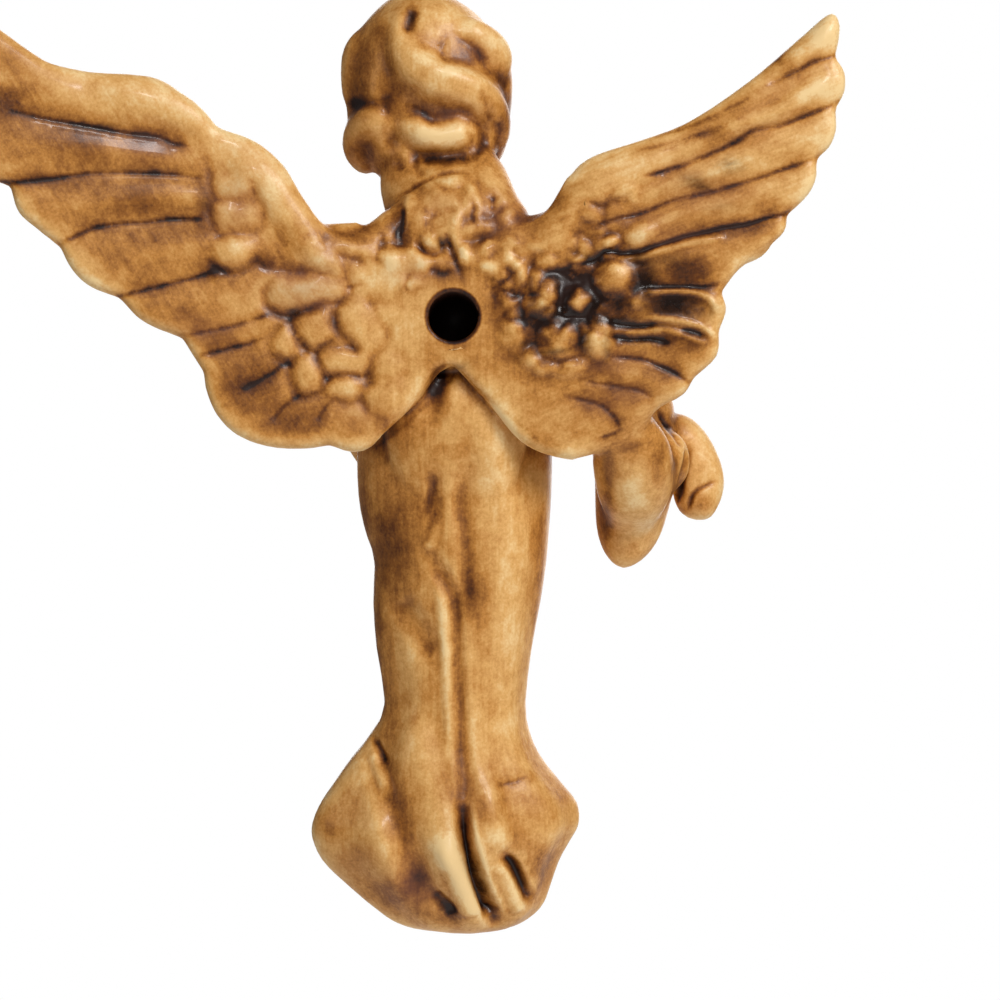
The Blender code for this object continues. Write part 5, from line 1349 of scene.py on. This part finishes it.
def paint(mesh, source_points, fine, broad):
    """Writes the glaze's fields on the finished skin, measured in parts: stains, and among them painted shade and
    painted highlights.
    """
    points = coordinates(mesh) / PART
    normals = outward(mesh)
    on_back = np.clip(normals[:, 1] * 2 + 0.6, 0, 1)
    nearest = carry(source_points, np.arange(len(source_points)), points)
    write_field(mesh, "crease", np.clip(fine[nearest], -1, 1))
    write_field(mesh, "hollow", np.clip(broad[nearest], -3, 3))
    ink, halo = inked(points, normals)
    write_field(mesh, "ink", ink)
    write_field(mesh, "halo", halo)
    # brown holds stains and painted shade; pale holds pale glaze and painted highlights.
    write_field(mesh, "brown", brushed(points, BROWN_STAINS_AND_SHADE) * on_back)
    write_field(mesh, "black", brushed(points, BLACK_STAINS) * on_back)
    write_field(mesh, "mauve", brushed(points, MAUVE_STAINS) * on_back)
    write_field(mesh, "pale", brushed(points, PALE_GLAZE_AND_HIGHLIGHTS) * on_back)
    left = np.clip((points[:, 0] - 16) / 14, 0, 1) * np.clip((points[:, 2] + 36) / 4, 0, 1)
    right = np.clip((-points[:, 0] - 14) / 14, 0, 1) * np.clip((points[:, 2] + 38) / 4, 0, 1)
    write_field(mesh, "left_wing", left)
    write_field(mesh, "right_wing", right)


def add(tree, kind, **settings):
    """A node with its properties and its sockets' values set. A socket is named with its words joined."""
    node = tree.nodes.new(kind)
    for name, value in settings.items():
        if name.startswith("in_"):
            node.inputs[int(name[3:]) if name[3:].isdigit() else name[3:].replace("_", " ")].default_value = value
        else:
            setattr(node, name, value)
    return node


def field(tree, name):
    return add(tree, "ShaderNodeAttribute", attribute_name=name).outputs["Fac"]


def maths(tree, operation, first, second, clamp=False):
    node = add(tree, "ShaderNodeMath", operation=operation, use_clamp=clamp)
    for socket, value in zip(node.inputs, (first, second)):
        if isinstance(value, (int, float)):
            socket.default_value = value
        else:
            tree.links.new(value, socket)
    return node.outputs[0]


def mixed(tree, share, first, second):
    """One number between two by a share."""
    node = add(tree, "ShaderNodeMix", data_type="FLOAT")
    for socket, value in zip((node.inputs[0], node.inputs[2], node.inputs[3]), (share, first, second)):
        if isinstance(value, (int, float)):
            socket.default_value = value
        else:
            tree.links.new(value, socket)
    return node.outputs[0]


def tinted(tree, share, first, second):
    """One colour between two by a share."""
    node = add(tree, "ShaderNodeMix", data_type="RGBA")
    for socket, value in zip((node.inputs[0], node.inputs[6], node.inputs[7]), (share, first, second)):
        if isinstance(value, tuple):
            socket.default_value = value
        else:
            tree.links.new(value, socket)
    return node.outputs[2]


def pattern(tree, place, scale, detail, roughness=0.55, stretch=(1, 1, 1), turn=(0, 0, 0)):
    """Noise in the object's own space, stretched along one way for brush marks."""
    mapping = add(tree, "ShaderNodeMapping", vector_type="TEXTURE")
    mapping.inputs["Rotation"].default_value = turn
    mapping.inputs["Scale"].default_value = stretch
    tree.links.new(place, mapping.inputs["Vector"])
    node = add(tree, "ShaderNodeTexNoise", in_Scale=scale, in_Detail=detail, in_Roughness=roughness)
    tree.links.new(mapping.outputs[0], node.inputs["Vector"])
    return node.outputs["Fac"]


def linear(red, green, blue):
    """A colour seen on a screen, 0 to 255, as light."""
    return tuple(((value / 255 + 0.055) / 1.055) ** 2.4 for value in (red, green, blue)) + (1,)


GLAZE_TONES = [
    (0.0, linear(246, 210, 150)),
    (0.2, linear(228, 174, 103)),
    (0.42, linear(195, 132, 60)),
    (0.6, linear(148, 91, 33)),
    (0.78, linear(100, 53, 13)),
    (1.0, linear(36, 13, 3)),
]


def hole_stain_and_shade(tree, place):
    """1 inside the hanging hole and on its rim, falling to 0 just outside, where the stain has run thin. On the rim
    the darkening is the glaze's dark stain; down inside the hole it is painted shade.
    """
    parts = add(tree, "ShaderNodeSeparateXYZ")
    tree.links.new(place, parts.inputs[0])
    across = add(tree, "ShaderNodeCombineXYZ")
    tree.links.new(parts.outputs["X"], across.inputs["X"])
    tree.links.new(parts.outputs["Z"], across.inputs["Z"])
    distance = add(tree, "ShaderNodeVectorMath", operation="LENGTH")
    tree.links.new(across.outputs[0], distance.inputs[0])
    rim = add(tree, "ShaderNodeMapRange", interpolation_type="SMOOTHSTEP")
    tree.links.new(distance.outputs["Value"], rim.inputs[0])
    for socket, value in zip(list(rim.inputs)[1:5], (HOLE_DIAMETER * 0.53, HOLE_DIAMETER * 0.6, 1, 0)):
        socket.default_value = value
    behind = maths(tree, "GREATER_THAN", parts.outputs["Y"], -HOLE_DEPTH - 0.001)
    return maths(tree, "MULTIPLY", rim.outputs[0], behind)


def woodtone_glaze():
    """Golden tan glaze with brown stain wiped over it, dark in the creases and pale on the crowns, with painted shade
    on the sides turned from the high light and painted highlights on some crowns and tips.
    """
    material = bpy.data.materials.new("woodtone_glaze_painted")
    material.use_nodes = True
    tree = material.node_tree
    shader = tree.nodes["Principled BSDF"]
    place = add(tree, "ShaderNodeTexCoord").outputs["Object"]
    down = pattern(tree, place, 900, 4, stretch=(1, 1, 14))
    leftward = pattern(tree, place, 900, 4, stretch=(1, 1, 12), turn=(0, math.radians(31), 0))
    rightward = pattern(tree, place, 900, 4, stretch=(1, 1, 12), turn=(0, math.radians(-68), 0))
    streak = mixed(tree, field(tree, "left_wing"), down, leftward)
    streak = mixed(tree, field(tree, "right_wing"), streak, rightward)
    cloud = pattern(tree, place, 45, 3)
    mottle = pattern(tree, place, 260, 8, roughness=0.65)
    speck = pattern(tree, place, 1400, 4, roughness=0.6)

    stain = maths(tree, "MULTIPLY_ADD", field(tree, "crease"), 0.42)
    stain.node.inputs[2].default_value = 0.36
    broken = maths(tree, "ADD", maths(tree, "MULTIPLY", mottle, 3.4), -1.05, clamp=True)
    ink = maths(tree, "MULTIPLY", field(tree, "ink"), broken)
    gathered = maths(tree, "ADD", maths(tree, "MULTIPLY", field(tree, "crease"), 1.2), 0.85, clamp=True)
    brown = maths(tree, "MULTIPLY", field(tree, "brown"), gathered)
    # brown adds stains and painted shade; pale takes stain away for pale glaze and painted highlights.
    for marks, share in ((ink, 0.6), (field(tree, "halo"), 0.26), (field(tree, "hollow"), 0.2), (brown, 0.9),
                         (field(tree, "pale"), -0.36)):
        stain = maths(tree, "ADD", stain, maths(tree, "MULTIPLY", marks, share))
    for marks, share in ((streak, 0.26), (cloud, 0.5), (mottle, 0.55), (speck, 0.34)):
        stain = maths(tree, "ADD", stain, maths(tree, "MULTIPLY", maths(tree, "SUBTRACT", marks, 0.5), share))
    # Darker on the hole's rim, a stain, and painted shade down inside the hole.
    stain = maths(tree, "ADD", stain, maths(tree, "MULTIPLY", hole_stain_and_shade(tree, place), 0.55), clamp=True)

    ramp = add(tree, "ShaderNodeValToRGB")
    band = ramp.color_ramp
    while len(band.elements) < len(GLAZE_TONES):
        band.elements.new(0.5)
    for element, (position, colour) in zip(band.elements, GLAZE_TONES):
        element.position = position
        element.color = colour
    tree.links.new(stain, ramp.inputs[0])
    colour = tinted(tree, maths(tree, "MULTIPLY", field(tree, "mauve"), 0.5), ramp.outputs[0], linear(140, 88, 70))
    glossy = maths(tree, "MULTIPLY", field(tree, "black"), gathered)
    glossy = maths(tree, "MULTIPLY", glossy, maths(tree, "ADD", maths(tree, "MULTIPLY", mottle, 2.2), 0.1), clamp=True)
    colour = tinted(tree, maths(tree, "MULTIPLY", glossy, 0.92), colour, linear(28, 16, 10))
    tree.links.new(colour, shader.inputs["Base Color"])

    dull = maths(tree, "MULTIPLY_ADD", mottle, 0.3)
    dull.node.inputs[2].default_value = 0.3
    tree.links.new(mixed(tree, glossy, dull, 0.2), shader.inputs["Roughness"])
    shader.inputs["Specular IOR Level"].default_value = 0.28
    shader.inputs["Coat Weight"].default_value = 0.12
    shader.inputs["Coat Roughness"].default_value = 0.14

    relief = maths(tree, "MULTIPLY_ADD", streak, 0.25)
    tree.links.new(maths(tree, "MULTIPLY", mottle, 0.6), relief.node.inputs[2])
    relief = maths(tree, "ADD", relief, maths(tree, "MULTIPLY", speck, 0.25))
    bump = add(tree, "ShaderNodeBump", in_Strength=0.5, in_Distance=0.0004)
    tree.links.new(relief, bump.inputs["Height"])
    tree.links.new(bump.outputs[0], shader.inputs["Normal"])
    return material


def plain(name, colour, roughness):
    material = bpy.data.materials.new(name)
    material.use_nodes = True
    shader = material.node_tree.nodes["Principled BSDF"]
    shader.inputs["Base Color"].default_value = colour
    shader.inputs["Roughness"].default_value = roughness
    return material


def keep_fine(angel, head):
    """Marks where the skin may be thinned out: away from the creases, the curls, the face and the hole."""
    points, normals = coordinates(angel.data), outward(angel.data)
    ink = np.maximum(*inked(points, normals))
    face = (np.linalg.norm(points - np.array(head) - (0, -12, 0), axis=1) < 20) & (normals[:, 1] < 0.2)
    round_hole = (np.hypot(points[:, 0], points[:, 2]) < 11) & (points[:, 1] > -4)
    plain_skin = np.nonzero((ink < 0.12) & ~face & ~round_hole)[0]
    group = angel.vertex_groups.new(name="plain skin")
    group.add(plain_skin.tolist(), 1.0, "REPLACE")


def drill(angel, start, end, start_radius, end_radius):
    """Cuts a round hole along Y that widens evenly from its start to its end."""
    bore = bmesh.new()
    bmesh.ops.create_cone(
        bore, cap_ends=True, segments=96, radius1=end_radius, radius2=start_radius, depth=end - start
    )
    bmesh.ops.rotate(bore, verts=bore.verts, cent=(0, 0, 0), matrix=Matrix.Rotation(math.radians(90), 3, "X"))
    bmesh.ops.translate(bore, verts=bore.verts, vec=(0, (start + end) / 2, 0))
    mesh = bpy.data.meshes.new("drill")
    bore.to_mesh(mesh)
    bore.free()
    drill = bpy.data.objects.new("drill", mesh)
    bpy.context.scene.collection.objects.link(drill)
    cut = angel.modifiers.new("hanging hole", "BOOLEAN")
    cut.operation = "DIFFERENCE"
    cut.object = drill
    settle(angel)
    bpy.data.objects.remove(drill)


def drill_hanging_hole(angel):
    """The blind hanging hole, with a small slope round its mouth."""
    radius, beyond = HOLE_DIAMETER / 2, 0.004
    drill(angel, -HOLE_DEPTH, beyond, radius, radius)
    drill(angel, -RIM_WIDTH, RIM_WIDTH, radius, radius + 2 * RIM_WIDTH)


def sculpt_angel():
    angel = clay_object("angel_glazed", lay_figure)
    bpy.context.scene.collection.objects.link(angel)
    fuse(angel, CLAY_GRAIN)
    soften(angel.data, SMOOTHING)
    points = coordinates(angel.data)
    hair = np.clip((points[:, 2] - 34) / 6, 0, 1) * np.clip((points[:, 1] + 34) / 8, 0, 1)
    soften(angel.data, HAIR_SMOOTHING, where=hair, push=-0.2)
    shoulders = np.clip((50 - np.abs(points[:, 0] - 4)) / 8, 0, 1) * np.clip((points[:, 2] - 12) / 6, 0, 1)
    shoulders *= np.clip((points[:, 1] + 30) / 8, 0, 1) * (1 - hair)
    sleeve = np.clip(2 - 1.4 * np.hypot((points[:, 0] + 47) / 16, (points[:, 2] + 44) / 20), 0, 1)
    sleeve *= np.clip((points[:, 1] + 34) / 6, 0, 1) * (points[:, 0] < -30)
    soften(angel.data, SHOULDER_SMOOTHING, where=shoulders, push=-0.2)
    soften(angel.data, SLEEVE_SMOOTHING, where=sleeve, push=-0.1)
    carve(angel.data)
    soften(angel.data, 1)
    points = coordinates(angel.data)
    points[:, 1] = np.maximum(points[:, 1], FOREMOST)
    store(angel.data, points)
    fine = hollowness(angel.data, 14)
    broad = hollowness(angel.data, 120)
    source_points = coordinates(angel.data)
    keep_fine(angel, HEAD_CENTRE)
    thin_out(angel, SKIN_TRIANGLES)
    angel.data.transform(Matrix.Scale(PART, 4))
    drill_hanging_hole(angel)
    angel.data.shade_smooth()
    paint(angel.data, source_points, fine, broad)
    angel.data.materials.clear()
    angel.data.materials.append(woodtone_glaze())
    return angel


def add_floor():
    sheet = bmesh.new()
    bmesh.ops.create_circle(sheet, cap_ends=True, segments=96, radius=0.68)
    bmesh.ops.translate(sheet, verts=sheet.verts, vec=(0, 0, -0.3))
    mesh = bpy.data.meshes.new("floor")
    sheet.to_mesh(mesh)
    sheet.free()
    floor = bpy.data.objects.new("floor", mesh)
    bpy.context.scene.collection.objects.link(floor)
    floor.data.materials.append(plain("pale_floor", (0.95, 0.95, 0.95, 1), 0.9))


def add_light(name, place, size, power, colour=(1, 1, 1)):
    light = bpy.data.lights.new(name, "AREA")
    light.shape = "DISK"
    light.size = size
    light.energy = power
    light.color = colour
    lamp = bpy.data.objects.new(name, light)
    lamp.location = place
    lamp.rotation_euler = (Vector((0, 0, 0)) - Vector(place)).to_track_quat("-Z", "Y").to_euler()
    bpy.context.scene.collection.objects.link(lamp)


def add_studio():
    """A pale room, a soft light high on the camera's side, and weaker ones that fill the front and the sides."""
    world = bpy.data.worlds.new("pale studio")
    bpy.context.scene.world = world
    world.use_nodes = True
    tree = world.node_tree
    room = tree.nodes["Background"]
    room.inputs["Color"].default_value = (1, 1, 1, 1)
    room.inputs["Strength"].default_value = 0.13
    wall = add(tree, "ShaderNodeBackground", in_Color=(1, 1, 1, 1), in_Strength=1.0)
    seen = add(tree, "ShaderNodeMixShader")
    tree.links.new(add(tree, "ShaderNodeLightPath").outputs["Is Camera Ray"], seen.inputs[0])
    tree.links.new(room.outputs[0], seen.inputs[1])
    tree.links.new(wall.outputs[0], seen.inputs[2])
    tree.links.new(seen.outputs[0], tree.nodes["World Output"].inputs["Surface"])
    add_light("high soft light", (-0.7, 0.9, 0.7), 0.6, 13.3)
    add_light("small sharp light", (-0.2, 1.1, 0.6), 0.08, 2.2)
    add_light("side light", (0.9, 0.5, 0.2), 0.4, 0.6)
    add_light("front light", (-0.25, -1.3, 0.35), 1.6, 15)


def add_camera():
    camera = bpy.data.cameras.new("camera")
    camera.sensor_width = 36
    camera.lens = 36 * 0.7 / 0.25
    holder = bpy.data.objects.new("camera", camera)
    holder.location = (-0.01175, 0.7, -0.046)
    holder.rotation_euler = (math.radians(90), 0, math.radians(180))
    bpy.context.scene.collection.objects.link(holder)
    bpy.context.scene.camera = holder
    bpy.context.scene.view_settings.view_transform = "Standard"


angel = sculpt_angel()
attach(angel, "root")
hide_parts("angel")
add_floor()
add_studio()
add_camera()
